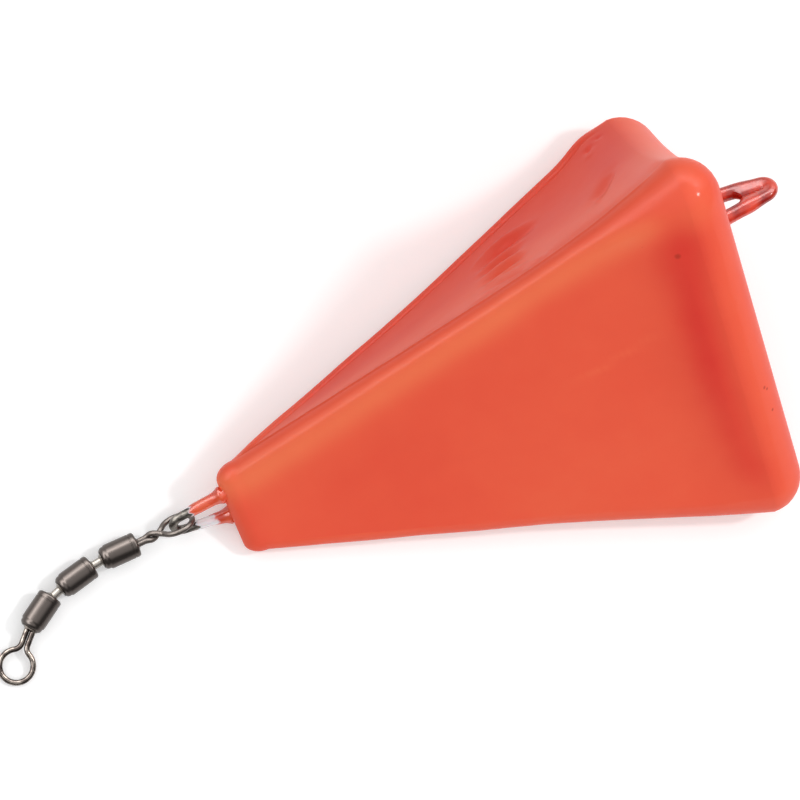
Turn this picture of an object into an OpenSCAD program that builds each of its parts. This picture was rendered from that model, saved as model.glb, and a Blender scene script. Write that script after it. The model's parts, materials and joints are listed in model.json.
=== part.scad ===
// Three-sided deep-sea fishing sinker with a triple swivel.
// A lead body is cast in an open V mould, with a wire loop set into each end,
// and dipped in a plastic skin that also runs out along the loops. Three
// barrel swivels in a chain hang on the loop at the narrow end.
// Millimetres. The sinker lies on one of its two smooth faces, with the
// open-cast face and the other smooth face leaning together above it. +X runs
// from the chain to the wide end. The origin is on the ground, below the
// middle of the whole.

/* [Lead body] */
// Length between the centres of the corner rounds at the two ends
body_len = 94; // [84:1:110]
// Width of the open-cast face at the wide end, between its corner centres
wide_w = 59.6; // [54:0.5:64]
// Depth of the keel under the open-cast face at the wide end
wide_h = 67.8; // [62:0.5:72]
// Width of the open-cast face at the narrow end, between its corner centres
narrow_w = 3.6; // [3:0.2:6]
// Depth of the keel under the open-cast face at the narrow end
narrow_h = 13.7; // [12:0.5:16]
// How far the open-cast face falls away from the wide end to the narrow end
face_fall = 24.9; // [22:0.5:28]
// Radius of the open-cast face's two arrises
arris_r = 1.9; // [1.4:0.1:2.6]
// Radius of the keel
keel_r = 5.6; // [4.5:0.1:6.5]
// Radius of the rounds at the narrow end
nose_r = 2.8; // [2.4:0.1:3.2]
// Length by which the rounds at the narrow end swell past their centres
nose_len = 4.2; // [3:0.1:5]
// Radius of the rounds at the wide end's rim
rim_r = 7.8; // [7:0.1:8.4]
// How far the rim flares out at its corners
flare = 4.7; // [3.5:0.1:5.5]
// Depth to which the open-cast face has sunk in cooling, at the wide end
sink_depth = 0.9; // [0.4:0.1:1.4]
// Thickness of the plastic skin on the lead
skin_t = 0.5; // [0.4:0.05:0.8]

/* [Wire loops] */
// Diameter of the loops' wire
wire_d = 1.75; // [1.5:0.05:1.9]
// Thickness of the plastic skin on the wire
sleeve_t = 0.34; // [0.25:0.01:0.4]
// Radius of the bend at a loop's tip, at the wire's centre
loop_bend_r = 1.95; // [1.85:0.05:2.2]
// Length of the tail loop outside the wide end
tail_out = 14.6; // [13:0.2:17]
// Angle by which each leg of a loop splays from the loop's axis
loop_splay = 8; // [6:0.5:9]
// Length of the nose loop outside the narrow end
nose_out = 11.8; // [11.4:0.2:14]
// Depth to which the nose loop's legs are cast in
nose_depth = 21; // [16:0.5:24]
// Depth to which the tail loop's legs are cast in
tail_depth = 24; // [18:0.5:28]
// Depth of the tail loop under the open-cast face's corner centres
tail_down = 14; // [12:0.5:18]
// Depth of the nose loop under the middle of the narrow end's corner centres
nose_drop = 0.5; // [0:0.1:1.5]
// Turn of the tail loop about its own axis
tail_twist = 60; // [40:5:75]
// Turn of the nose loop about its own axis
nose_twist = -34; // [-40:2:-28]
// Length of the skin left on the nose loop's upper leg
upper_sleeve = 7.4; // [5:0.2:7.6]
// Length of the skin left on the nose loop's lower leg
lower_sleeve = 5; // [3:0.2:5.6]

/* [Swivels] */
// Outer diameter of a barrel
barrel_d = 4.9; // [4.7:0.05:5.2]
// Length of a barrel
barrel_len = 7.35; // [7:0.05:8.5]
// Wall of a barrel
barrel_wall = 0.45; // [0.4:0.05:0.5]
// Diameter of the mouth at each end of a barrel
mouth_d = 3.2; // [3.1:0.05:3.25]
// Diameter of the head that a barrel holds
head_d = 3.5; // [3.4:0.05:3.6]
// Play between a head and its seat
head_play = 0.05; // [0.03:0.01:0.08]
// Diameter of the pin between two barrels
pin_d = 1.7; // [1.5:0.05:1.8]
// Length of a pin that shows between two barrels
pin_gap = 2.2; // [2:0.1:3]
// Outer diameter of an eye
eye_d = 7.45; // [7.2:0.05:7.8]
// Diameter of an eye's wire
eye_wire_d = 1.12; // [1:0.02:1.16]
// Length from the first eye's centre to its barrel
near_eye_len = 8.4; // [8:0.1:9.5]
// Length from the end eye's centre to its barrel
end_eye_len = 7.4; // [7.2:0.1:9]

/* [Hidden] */
$fn = 48;

// Colours, as the photograph shows them
skin_colour = "#E75643";
lead_colour = "#6E7276";
wire_colour = "#8C8A84";
nickel_colour = "#4A4442";

// Facets of the cast shape
arc_steps = 6;
side_steps = 7;
station_shares = [0, 0.06, 0.16, 0.28, 0.4, 0.5, 0.58, 0.65, 0.71, 0.77, 0.82, 0.87, 0.91, 0.945, 0.975, 1];
nose_angles = [78, 60, 40, 20];
rim_angles = [15, 30, 45, 60, 78];

// The corners begin to flare past this share of the length, and the flare
// grows with this power. The sides between them turn out later, past
// lip_from_share, with a power of their own.
flare_from_share = 0.52;
flare_power = 2.2;
round_power = 4;
lip_from_share = 0.8;
lip_power = 3;

// The first eye stands on the ground with the nose loop's tip in it, drawn in
// along the loop by near_slack, and leans from upright by near_lean. Where the
// tip is too high for that, the eye hangs on it.
near_slack = 0.8;
near_lean = 32;
ground_gap = 0.02;
// Directions of the chain's pieces on the ground, as angles from +X, and how
// steeply the first of them run down to it
near_turn = 180;
turn_1 = 179;
pin_turn_1 = 186;
turn_2 = 191;
pin_turn_2 = 197;
turn_3 = 211;
end_turn = 224;
near_fall_share = 18;
fall_share_1 = 9;
pin_fall_share_1 = 3;

wire_r = wire_d / 2;
sleeve_r = wire_r + sleeve_t;
barrel_r = barrel_d / 2;
bore_r = barrel_r - barrel_wall;
mouth_r = mouth_d / 2;
head_r = head_d / 2;
pin_r = pin_d / 2;
eye_wire_r = eye_wire_d / 2;
eye_r = eye_d / 2 - eye_wire_r;

// Distance from a barrel's outer end face to the centre of the head it holds
seat_depth = barrel_wall + sqrt(head_r * head_r - mouth_r * mouth_r) + head_play;
near_reach = near_eye_len + seat_depth;
end_reach = end_eye_len + seat_depth;
barrel_reach = barrel_len - 2 * seat_depth;
pin_reach = pin_gap + 2 * seat_depth;

function unit(v) = v / norm(v);
function mix(a, b, t) = a + (b - a) * t;
function heading(turn, rise) = [cos(rise) * cos(turn), cos(rise) * sin(turn), sin(rise)];

// The cast shape stands here as it lies in its mould: the open face up, the
// keel down, x along it. A corner is [y, z]. Corners 0 and 1 are the open
// face's arrises, and corner 2 is the keel.
function wide_corners() = [[wide_w / 2, 0], [-wide_w / 2, 0], [0, -wide_h]];
function narrow_corners() = [[narrow_w / 2, -face_fall], [-narrow_w / 2, -face_fall],
    [0, -face_fall - narrow_h]];
function own_radii() = [arris_r, arris_r, keel_r];
function middle(c) = (c[0] + c[1] + c[2]) / 3;

// Corner moved in along its bisector, so that a round larger by grown still
// touches the same two sides
function set_in(c, k, grown) = let(
    a = unit(c[(k + 2) % 3] - c[k]),
    b = unit(c[(k + 1) % 3] - c[k]),
    half = acos(a * b) / 2
) c[k] + unit(a + b) * grown / sin(half);

function flare_run(s) = max(0, (s - flare_from_share) / (1 - flare_from_share));
function plain_r(k, s) = mix(nose_r, own_radii()[k], s);
function corner_r(k, s) = mix(plain_r(k, s), rim_r, pow(flare_run(s), round_power));
function corner_at(k, s) = let(
    w = wide_corners(),
    n = narrow_corners(),
    c = [for (i = [0:2]) mix(n[i], w[i], s)],
    grown = corner_r(k, s) - plain_r(k, s)
) set_in(c, k, grown) + unit(c[k] - middle(c)) * flare * pow(flare_run(s), flare_power);

// Direction in which the side from corner k to the next one faces
function side_normal(c, r, k) = let(
    j = (k + 1) % 3,
    d = c[j] - c[k],
    lean = (r[k] - r[j]) / norm(d),
    u = unit(d)
) u * lean + [u[1], -u[0]] * sqrt(1 - lean * lean);

function sink_at(s) = sink_depth * mix(narrow_w / wide_w, 1, s);

// How far the middle of a side has turned out at share s, as a share of the
// whole, and how much it lies in behind its flaring corners
function lip_run(s) = let(u = max(0, (s - lip_from_share) / (1 - lip_from_share)))
    pow(u, lip_power) * (1 + lip_power * (1 - u));
function hollow_at(s) = flare / 2 * max(0, pow(flare_run(s), flare_power) - lip_run(s));

// Outline at share s of the length, with corner radii r, as [x, y, z] points
function outline(x, s, r) = let(
    c = [for (k = [0:2]) corner_at(k, s)],
    n = [for (k = [0:2]) side_normal(c, r, k)]
) [for (k = [0:2]) let(
        before = n[(k + 2) % 3],
        from = atan2(before[1], before[0]),
        sweep = (atan2(n[k][1], n[k][0]) - from + 720) % 360,
        j = (k + 1) % 3,
        a = c[k] + n[k] * r[k],
        b = c[j] + n[k] * r[j]
    ) each concat(
        [for (i = [0:arc_steps]) let(t = from + sweep * i / arc_steps)
            [x, c[k][0] + r[k] * cos(t), c[k][1] + r[k] * sin(t)]],
        [for (i = [1:side_steps - 1]) let(
            t = i / side_steps,
            sunk = k == 0 ? 4 * t * (1 - t) * sink_at(s) : 0,
            hollow = hollow_at(s) * (1 - pow(2 * t - 1, 4)),
            p = mix(a, b, t) - n[k] * (sunk + hollow)
        ) [x, p[0], p[1]]])];

// All outlines from the narrow end to the wide end, grown by g
function cast_rows(g) = concat(
    [for (a = nose_angles)
        outline(-(nose_len + g) * sin(a), 0, [for (k = [0:2]) (nose_r + g) * cos(a)])],
    [for (s = station_shares) outline(s * body_len, s, [for (k = [0:2]) corner_r(k, s) + g])],
    [for (a = rim_angles) let(f = rim_r + g)
        outline(body_len + f * sin(a), 1, [for (k = [0:2]) f * cos(a)])]);

// Closed skin through rows of points, with a fan over each end
module loft(rows) {
    n = len(rows[0]);
    last = len(rows) - 1;
    first_mid = n * len(rows);
    function total(list, i = 0) = i == len(list) - 1 ? list[i] : list[i] + total(list, i + 1);
    points = concat([for (row = rows) each row], [total(rows[0]) / n, total(rows[last]) / n]);
    sides = [for (r = [0:last - 1], i = [0:n - 1]) let(
            j = (i + 1) % n,
            a = r * n + i,
            b = r * n + j
        ) each [[a, a + n, b], [b, a + n, b + n]]];
    ends = [for (i = [0:n - 1]) let(j = (i + 1) % n)
        each [[first_mid, i, j], [first_mid + 1, last * n + j, last * n + i]]];
    polyhedron(points, concat(sides, ends));
}

// How the cast shape lies. It rests on two corners of the rim and on the keel
// at the narrow end: the plane that touches these three rounds is the ground.
function spot(s, k) = let(c = corner_at(k, s)) [s * body_len, c[0], c[1]];
function nose_reach(n) = let(r = [nose_len * n[0], nose_r * n[1], nose_r * n[2]])
    [nose_len * r[0], nose_r * r[1], nose_r * r[2]] / norm(r);
function touching(n, tries) = tries == 0 ? n : let(
    a = spot(1, 0) + n * rim_r,
    b = spot(1, 2) + n * rim_r,
    c = spot(0, 2) + nose_reach(n),
    m = unit(cross(a - c, b - c))
) touching(m[1] < 0 ? -m : m, tries - 1);
down = touching([0, 1, 0], 6);
up = -down;
run = spot(1, 0) + spot(1, 1) + spot(1, 2) - spot(0, 0) - spot(0, 1) - spot(0, 2);
along = unit(run - up * (run * up));
aside = cross(up, along);
lift = rim_r - up * spot(1, 0);
function laid(p) = [along * p, aside * p, up * p + lift];

// Axes of the two loops, in the mould
tail_face = body_len + rim_r * sin(rim_angles[4]);
nose_face = -nose_len * sin(nose_angles[0]);
tail_mid = [tail_face + tail_out - wire_r - loop_bend_r, 0, -tail_down];
nose_mid = [nose_face - nose_out + wire_r + loop_bend_r, 0,
    -face_fall - narrow_h / 3 - nose_drop];
nose_across = [0, -sin(nose_twist), -cos(nose_twist)];
tail_across = [0, -sin(tail_twist), -cos(tail_twist)];

// The chain, from the middle of the wire at the nose loop's tip
tip = laid(nose_mid - [loop_bend_r, 0, 0]);
near_room = eye_r - eye_wire_r - wire_r - head_play;
near_height = max(eye_r * cos(near_lean) + eye_wire_r + ground_gap,
    tip[2] - max(0, near_room - near_slack));
fall_scale = (near_height - barrel_r) / (near_reach * sin(near_fall_share)
    + barrel_reach * sin(fall_share_1) + pin_reach * sin(pin_fall_share_1));
near_way = heading(near_turn, -asin(fall_scale * sin(near_fall_share)));
way_1 = heading(turn_1, -asin(fall_scale * sin(fall_share_1)));
pin_way_1 = heading(pin_turn_1, -asin(fall_scale * sin(pin_fall_share_1)));
way_2 = heading(turn_2, 0);
pin_way_2 = heading(pin_turn_2, 0);
way_3 = heading(turn_3, 0);
end_way = heading(end_turn, -asin((barrel_r - eye_wire_r) / (end_reach + eye_r)));

near_side = unit(cross([0, 0, 1], near_way));
near_up = cross(near_way, near_side);
near_face = near_side * cos(near_lean) - near_up * sin(near_lean);
near_mid = [tip[0] - cos(near_turn) * near_slack, tip[1] - sin(near_turn) * near_slack, near_height];
head_1 = near_mid + near_way * near_reach;
head_2 = head_1 + way_1 * barrel_reach;
head_3 = head_2 + pin_way_1 * pin_reach;
head_4 = head_3 + way_2 * barrel_reach;
head_5 = head_4 + pin_way_2 * pin_reach;
head_6 = head_5 + way_3 * barrel_reach;
end_mid = head_6 + end_way * end_reach;
end_side = unit(cross([0, 0, 1], end_way));
end_face = cross(end_way, end_side);

// Middle of the whole on the ground
far_x = laid(tail_mid)[0] + loop_bend_r * norm([along[0], along * tail_across]) + sleeve_r;
near_x = end_mid[0] - eye_r * sqrt(1 - end_face[0] * end_face[0]) - eye_wire_r;
left_y = laid(spot(1, 2))[1] - rim_r;
right_y = laid(spot(1, 0))[1] + rim_r;
centre = [(far_x + near_x) / 2, (left_y + right_y) / 2, 0];

// Children drawn with x along way and z along face, at p
module set_at(p, way, face) {
    side = cross(face, way);
    q = p - centre;
    multmatrix([
        [way[0], side[0], face[0], q[0]],
        [way[1], side[1], face[1], q[1]],
        [way[2], side[2], face[2], q[2]],
        [0, 0, 0, 1]]) children();
}

// Children of the mould's frame, laid on the ground
module lay() {
    multmatrix([
        [along[0], along[1], along[2], -centre[0]],
        [aside[0], aside[1], aside[2], -centre[1]],
        [up[0], up[1], up[2], lift],
        [0, 0, 0, 1]]) children();
}

// Where a straight and a bent stretch of wire join, one is a hair thinner than
// the other and laps into it by a share of the wire's radius
slim_share = 0.995;
lap_share = 0.06;

// Round bar from p in the x-y plane, along the direction at angle turn
module bar(p, turn, length, r, lap = 0) {
    translate([p[0], p[1], 0]) rotate([0, 0, turn]) translate([-lap, 0, 0])
        rotate([0, 90, 0]) cylinder(h = length + 2 * lap, r = r);
}

// Bent round bar about c in the x-y plane
module bend(c, bend_r, from, sweep, r, lap = 0) {
    past = lap / bend_r * 180 / PI;
    translate([c[0], c[1], 0]) rotate([0, 0, from - past])
        rotate_extrude(angle = sweep + 2 * past) translate([bend_r, 0]) circle(r = r);
}

// Wire loop: the bend about the origin, tip to +x, with splayed legs of the
// given length, and feet turned in at their ends
foot_bend_r = 2.4;
foot_turn = 80;
module loop(r, leg, feet) {
    start = [loop_bend_r * sin(loop_splay), loop_bend_r * cos(loop_splay)];
    leg_way = [-cos(loop_splay), sin(loop_splay)];
    foot = start + leg_way * leg - [sin(loop_splay), cos(loop_splay)] * foot_bend_r;
    bend([0, 0], loop_bend_r, loop_splay - 90, 180 - 2 * loop_splay, r);
    for (m = [0, 1]) mirror([0, m, 0]) {
        bar(start, 180 - loop_splay, leg, r * slim_share, r * lap_share);
        if (feet) bend(foot, foot_bend_r, 90 - loop_splay, foot_turn, r);
    }
}

// Frames of the two loops, in the mould
module at_tail() {
    multmatrix([
        [1, 0, 0, tail_mid[0]],
        [0, tail_across[1], -tail_across[2], tail_mid[1]],
        [0, tail_across[2], tail_across[1], tail_mid[2]],
        [0, 0, 0, 1]]) children();
}

module at_nose() {
    multmatrix([
        [-1, 0, 0, nose_mid[0]],
        [0, nose_across[1], nose_across[2], nose_mid[1]],
        [0, nose_across[2], -nose_across[1], nose_mid[2]],
        [0, 0, 0, 1]]) children();
}

function leg_for(out, depth) = (out - wire_r - loop_bend_r + depth) / cos(loop_splay);

module tail_loop(r, depth, feet) {
    at_tail() loop(r, leg_for(tail_out, depth), feet);
}

module nose_loop(r, depth, feet) {
    at_nose() loop(r, leg_for(nose_out, depth), feet);
}

// Skin on one leg of the nose loop, from inside the lead out to length
module nose_sleeve(m, length) {
    root = leg_for(nose_out, 0);
    start = [loop_bend_r * sin(loop_splay), loop_bend_r * cos(loop_splay)];
    leg_way = [-cos(loop_splay), sin(loop_splay)];
    at_nose() mirror([0, m, 0])
        bar(start + leg_way * (root - length), 180 - loop_splay, length + nose_r, sleeve_r);
}

// Skin drawn up the foot of a leg as a small cone
neck_r = sleeve_r * 1.5;
neck_len = sleeve_r * 1.3;
module necks(out) {
    root = leg_for(out, 0);
    start = [loop_bend_r * sin(loop_splay), loop_bend_r * cos(loop_splay)];
    leg_way = [-cos(loop_splay), sin(loop_splay)];
    for (m = [0, 1]) mirror([0, m, 0])
        translate([each (start + leg_way * (root - neck_len)), 0])
            rotate([0, 0, 180 - loop_splay]) rotate([0, 90, 0])
                cylinder(h = 2 * neck_len, r1 = wire_r, r2 = 2 * neck_r - wire_r);
}

module lead_core() {
    color(lead_colour) lay() difference() {
        loft(cast_rows(-skin_t));
        tail_loop(wire_r, tail_depth, true);
        nose_loop(wire_r, nose_depth, true);
    }
}

module plastic_skin() {
    color(skin_colour) lay() difference() {
        union() {
            loft(cast_rows(0));
            tail_loop(sleeve_r, rim_r / 2, false);
            at_tail() necks(tail_out);
            nose_sleeve(0, lower_sleeve);
            nose_sleeve(1, upper_sleeve);
        }
        loft(cast_rows(-skin_t));
        tail_loop(wire_r, rim_r, false);
        nose_loop(wire_r, rim_r, false);
    }
}

module tail_wire() {
    color(wire_colour) lay() tail_loop(wire_r, tail_depth, true);
}

module nose_wire() {
    color(wire_colour) lay() nose_loop(wire_r, nose_depth, true);
}

// Eye about the origin in the x-y plane: a ring whose two ends bend round
// into a pair of strands along +x, forged into a head at reach
eye_neck_r = 1.8;
strand_share = 1.04;
module eye(reach) {
    apart = eye_wire_r * strand_share;
    neck_x = sqrt(pow(eye_r + eye_neck_r, 2) - pow(apart + eye_neck_r, 2));
    open = atan2(apart + eye_neck_r, neck_x);
    bend([0, 0], eye_r, open, 360 - 2 * open, eye_wire_r);
    for (m = [0, 1]) mirror([0, m, 0]) {
        bend([neck_x, apart + eye_neck_r], eye_neck_r, 180 + open, 90 - open,
            eye_wire_r * slim_share, eye_wire_r * lap_share);
        bar([neck_x, apart], 0, reach - neck_x, eye_wire_r);
    }
    translate([reach, 0, 0]) sphere(r = head_r);
}

module near_eye() {
    color(wire_colour) set_at(near_mid, near_way, near_face) eye(near_reach);
}

module end_eye() {
    color(nickel_colour) set_at(end_mid, -end_way, end_face) eye(end_reach);
}

// Pin with a head at each end, from the origin along +x
module link_pin(p, way) {
    color(nickel_colour) set_at(p, way, unit(cross(way, [-way[1], way[0], 0]))) {
        bar([0, 0], 0, pin_reach, pin_r);
        sphere(r = head_r);
        translate([pin_reach, 0, 0]) sphere(r = head_r);
    }
}

module link_pin_1() {
    link_pin(head_2, pin_way_1);
}

module link_pin_2() {
    link_pin(head_4, pin_way_2);
}

// Barrel along +x from its first head: a drawn tube with one end turned in
// square and the other spun over after the heads are in
round_r = 0.5;
crimp_len = 1.5;
crimp_in = 0.22;
crimp_r = 0.9;
arc_parts = 5;
function quarter(mid, r, from) = [for (i = [0:arc_parts]) let(t = from + 90 * i / arc_parts)
    mid + r * [cos(t), sin(t)]];
module barrel(p, way) {
    crimped_r = barrel_r - crimp_in;
    color(nickel_colour) set_at(p, way, unit(cross(way, [-way[1], way[0], 0])))
        translate([-seat_depth, 0, 0]) rotate([0, 90, 0]) rotate_extrude() polygon(concat(
            [[mouth_r, barrel_wall], [mouth_r, 0]],
            quarter([barrel_r - round_r, round_r], round_r, -90),
            [[barrel_r, barrel_len - crimp_len], [crimped_r, barrel_len - crimp_r - crimp_in]],
            quarter([crimped_r - crimp_r, barrel_len - crimp_r], crimp_r, 0),
            [[mouth_r, barrel_len], [mouth_r, barrel_len - barrel_wall],
            [bore_r, barrel_len - crimp_len - crimp_in], [bore_r, barrel_wall]]));
}

module barrel_1() {
    barrel(head_1, way_1);
}

module barrel_2() {
    barrel(head_3, way_2);
}

module barrel_3() {
    barrel(head_5, way_3);
}

lead_core();
plastic_skin();
tail_wire();
nose_wire();
near_eye();
barrel_1();
link_pin_1();
barrel_2();
link_pin_2();
barrel_3();
end_eye();
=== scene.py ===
"""Looks of a three-sided deep-sea sinker, dipped in red plastic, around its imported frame.

The frame gives the pieces' places, the joints and the sizes of the chain. The cast body is
drawn again here from the same few sizes, with the marks that casting, cooling and dipping
leave on it. Sizes are millimetres, and MM turns them to metres where a mesh or a node takes
them. A span is where a change starts and where it ends, and a bell is a middle and a width.
"""

import json
import logging
import math
from dataclasses import dataclass, field
from enum import Enum
from typing import Any

import bpy
import numpy as np
from mathutils import Matrix, Vector

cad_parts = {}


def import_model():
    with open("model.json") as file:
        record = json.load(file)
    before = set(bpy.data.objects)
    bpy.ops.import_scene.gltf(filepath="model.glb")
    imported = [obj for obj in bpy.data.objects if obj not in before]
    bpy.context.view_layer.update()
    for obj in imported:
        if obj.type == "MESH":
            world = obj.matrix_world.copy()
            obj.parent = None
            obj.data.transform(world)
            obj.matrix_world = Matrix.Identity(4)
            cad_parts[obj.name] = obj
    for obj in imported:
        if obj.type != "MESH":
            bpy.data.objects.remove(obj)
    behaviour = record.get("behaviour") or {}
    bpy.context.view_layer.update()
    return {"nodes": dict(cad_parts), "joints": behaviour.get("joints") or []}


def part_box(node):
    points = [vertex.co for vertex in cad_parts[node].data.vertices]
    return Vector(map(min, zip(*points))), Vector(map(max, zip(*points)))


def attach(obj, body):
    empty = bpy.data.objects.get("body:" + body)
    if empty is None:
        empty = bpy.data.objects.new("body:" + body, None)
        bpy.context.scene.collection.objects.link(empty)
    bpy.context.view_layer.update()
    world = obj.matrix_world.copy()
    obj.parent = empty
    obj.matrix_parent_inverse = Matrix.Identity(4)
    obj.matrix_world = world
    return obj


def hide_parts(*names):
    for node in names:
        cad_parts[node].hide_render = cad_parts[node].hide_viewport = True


LOG = logging.getLogger("sinker")
MM = 0.001
FULL_TURN = 2 * math.pi
WELD = 1e-7
Pair = tuple[float, float]
Stops = tuple[tuple[float, str], ...]


# Small tools for numbers and places

def unit(v: np.ndarray) -> np.ndarray:
    """Gives v at length one."""
    return v / np.linalg.norm(v)


def smooth_step(low: float, high: float, x: Any) -> Any:
    """Eases from 0 at low to 1 at high.

    Args:
        low: value below which the result is 0.
        high: value above which the result is 1.
        x: value or values to ease.

    Returns:
        The eased value or values, from 0 to 1.
    """
    t = np.clip((x - low) / (high - low), 0.0, 1.0)
    return t * t * (3 - 2 * t)


def bell(middle: Any, width: Any, x: Any) -> Any:
    """Rises to 1 at middle and falls away within about width on either side.

    Args:
        middle: where it is highest.
        width: how wide it is.
        x: value or values to look up.

    Returns:
        The bell's height there, from 0 to 1.
    """
    return np.exp(-((x - middle) / width) ** 2)


def wave_noise(points: np.ndarray, size: float, seed: int) -> np.ndarray:
    """Soft noise made of a few plane waves, the same in each run.

    Args:
        points: places, as rows of three numbers.
        size: typical distance between two swells, in the points' unit.
        seed: which pattern.

    Returns:
        One value for each point, about -1 to 1.
    """
    rng = np.random.default_rng(seed)
    total = np.zeros(len(points))
    waves = 9
    for _ in range(waves):
        way = unit(rng.normal(size=3))
        stretch = rng.uniform(0.7, 1.5)
        total += np.sin(points @ way * FULL_TURN / (size * stretch) + rng.uniform(0, FULL_TURN))
    return total / math.sqrt(waves)


def ways_along(route: np.ndarray) -> np.ndarray:
    """Direction of a route at each of its points."""
    ways = np.gradient(route, axis=0)
    return ways / np.linalg.norm(ways, axis=1)[:, None]


def arc_points(middle: np.ndarray, radius: float, start: float, sweep: float, step: float) -> np.ndarray:
    """Points on an arc in the x-y plane.

    Args:
        middle: the arc's middle, as x and y.
        radius: its radius.
        start: where it starts, in degrees from +x.
        sweep: how far it runs, in degrees.
        step: distance between two points.

    Returns:
        The points, with a z of zero.
    """
    count = max(3, int(abs(math.radians(sweep)) * radius / step) + 1)
    turns = np.radians(start + sweep * np.linspace(0, 1, count))
    return np.stack([middle[0] + radius * np.cos(turns), middle[1] + radius * np.sin(turns),
                     np.zeros(count)], axis=1)


def line_points(start: np.ndarray, end: np.ndarray, step: float) -> np.ndarray:
    """Points on a straight line, without its two ends."""
    count = max(2, int(np.linalg.norm(end - start) / step))
    shares = np.linspace(0, 1, count + 1)[1:-1, None]
    return start + (end - start) * shares


def ring_rows(route: np.ndarray, radii: np.ndarray, around: int) -> np.ndarray:
    """Rings about a route, closed by a point at each end.

    Args:
        route: the route's points, in any unit.
        radii: radius at each point and place around it.
        around: points in each ring.

    Returns:
        Rings by points by three numbers, with a single point before the first and after the last.
    """
    ways = ways_along(route)
    side = unit(np.cross(ways[0], [0.31, 0.17, 0.93]))
    turns = np.arange(around)[:, None] * FULL_TURN / around
    rows = [np.repeat(route[:1], around, axis=0)]
    for place, way, reach in zip(route, ways, radii):
        side = unit(side - way * (side @ way))
        rows.append(place + reach[:, None] * (np.cos(turns) * side + np.sin(turns) * np.cross(way, side)))
    rows.append(np.repeat(route[-1:], around, axis=0))
    return np.array(rows)


# Meshes, modelled by operators

def take(piece: bpy.types.Object | None) -> None:
    """Makes piece the one selected and active object, or leaves none selected."""
    bpy.ops.object.select_all(action="DESELECT")
    if piece is not None:
        piece.select_set(True)
        bpy.context.view_layer.objects.active = piece


def plain_tube(name: str, rings: int, around: int) -> bpy.types.Object:
    """Adds a circle and extrudes it into a tube with a ring of points at each whole x.

    Args:
        name: the object's name.
        rings: number of rings.
        around: points in each ring.

    Returns:
        The tube, still plain and one unit in radius.
    """
    take(None)
    bpy.ops.mesh.primitive_circle_add(vertices=around, radius=1.0, rotation=(0, math.pi / 2, 0))
    tube = bpy.context.object
    tube.name = name
    tube.data.name = name
    bpy.ops.object.transform_apply(location=False, rotation=True, scale=False)
    bpy.ops.object.mode_set(mode="EDIT")
    bpy.ops.mesh.select_all(action="SELECT")
    for _ in range(rings - 1):
        bpy.ops.mesh.extrude_edges_move(TRANSFORM_OT_translate={"value": (1.0, 0.0, 0.0)})
    bpy.ops.object.mode_set(mode="OBJECT")
    return tube


def points_of(piece: bpy.types.Object) -> np.ndarray:
    """A mesh's points, as rows of three numbers."""
    places = np.zeros(len(piece.data.vertices) * 3)
    piece.data.vertices.foreach_get("co", places)
    return places.reshape(-1, 3)


def shaped_tube(name: str, rows: np.ndarray, key: str = "",
                value: np.ndarray | None = None) -> bpy.types.Object:
    """Moves a plain tube's rings to given rows of points, and closes it.

    Args:
        name: the piece's name.
        rows: places in metres, as rings by points by three numbers. A first or last row that is
            one point closes its end.
        key: name of a point attribute to keep on the mesh.
        value: the attribute, as rings by points.

    Returns:
        The piece, smooth and facing outward, with its place in its mesh.
    """
    rings, around = rows.shape[:2]
    tube = plain_tube(name, rings, around)
    places = points_of(tube)
    ring = np.rint(places[:, 0]).astype(int)
    turn = np.arctan2(places[:, 2], places[:, 1]) / FULL_TURN * around
    spot = np.rint(turn - turn[0]).astype(int) % around
    tube.data.vertices.foreach_set("co", rows[ring, spot].ravel())
    if value is not None:
        layer = tube.data.attributes.new(key, "FLOAT", "POINT")
        layer.data.foreach_set("value", value[ring, spot].astype(np.float32))
    weld(tube)
    return tube


def weld(piece: bpy.types.Object) -> None:
    """Merges points that lie together, faces all sides outward and smooths the shading."""
    take(piece)
    bpy.ops.object.mode_set(mode="EDIT")
    bpy.ops.mesh.select_all(action="SELECT")
    bpy.ops.mesh.remove_doubles(threshold=WELD)
    bpy.ops.mesh.normals_make_consistent(inside=False)
    bpy.ops.object.mode_set(mode="OBJECT")
    bpy.ops.object.shade_smooth()


def kept_in(rows: np.ndarray, node: str) -> np.ndarray:
    """Moves points that facets push out of a node's box, by under 0.1 mm, back to it.

    Args:
        rows: points in metres.
        node: the frame's node.

    Returns:
        The points, inside the box.
    """
    low, high = (np.array(p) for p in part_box(node))
    return np.clip(rows, low, high)


# Finishes

def linear(colour: str) -> tuple[float, float, float, float]:
    """Turns an sRGB hex colour into linear light.

    Args:
        colour: six hex digits after a hash.

    Returns:
        Red, green and blue as linear values, and an alpha of one.
    """
    parts = [int(colour[i:i + 2], 16) / 255 for i in (1, 3, 5)]
    lit = [c / 12.92 if c <= 0.04045 else ((c + 0.055) / 1.055) ** 2.4 for c in parts]
    return (*lit, 1.0)


def join(tree: bpy.types.NodeTree, node: bpy.types.Node, sockets: dict[Any, Any]) -> None:
    """Fills a node's inputs.

    Args:
        tree: the node tree.
        node: the node.
        sockets: what goes into each input, by name or number. An output socket is linked, and
            anything else is set as the input's value.
    """
    for key, value in sockets.items():
        if isinstance(value, bpy.types.NodeSocket):
            tree.links.new(value, node.inputs[key])
        else:
            node.inputs[key].default_value = value


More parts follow.
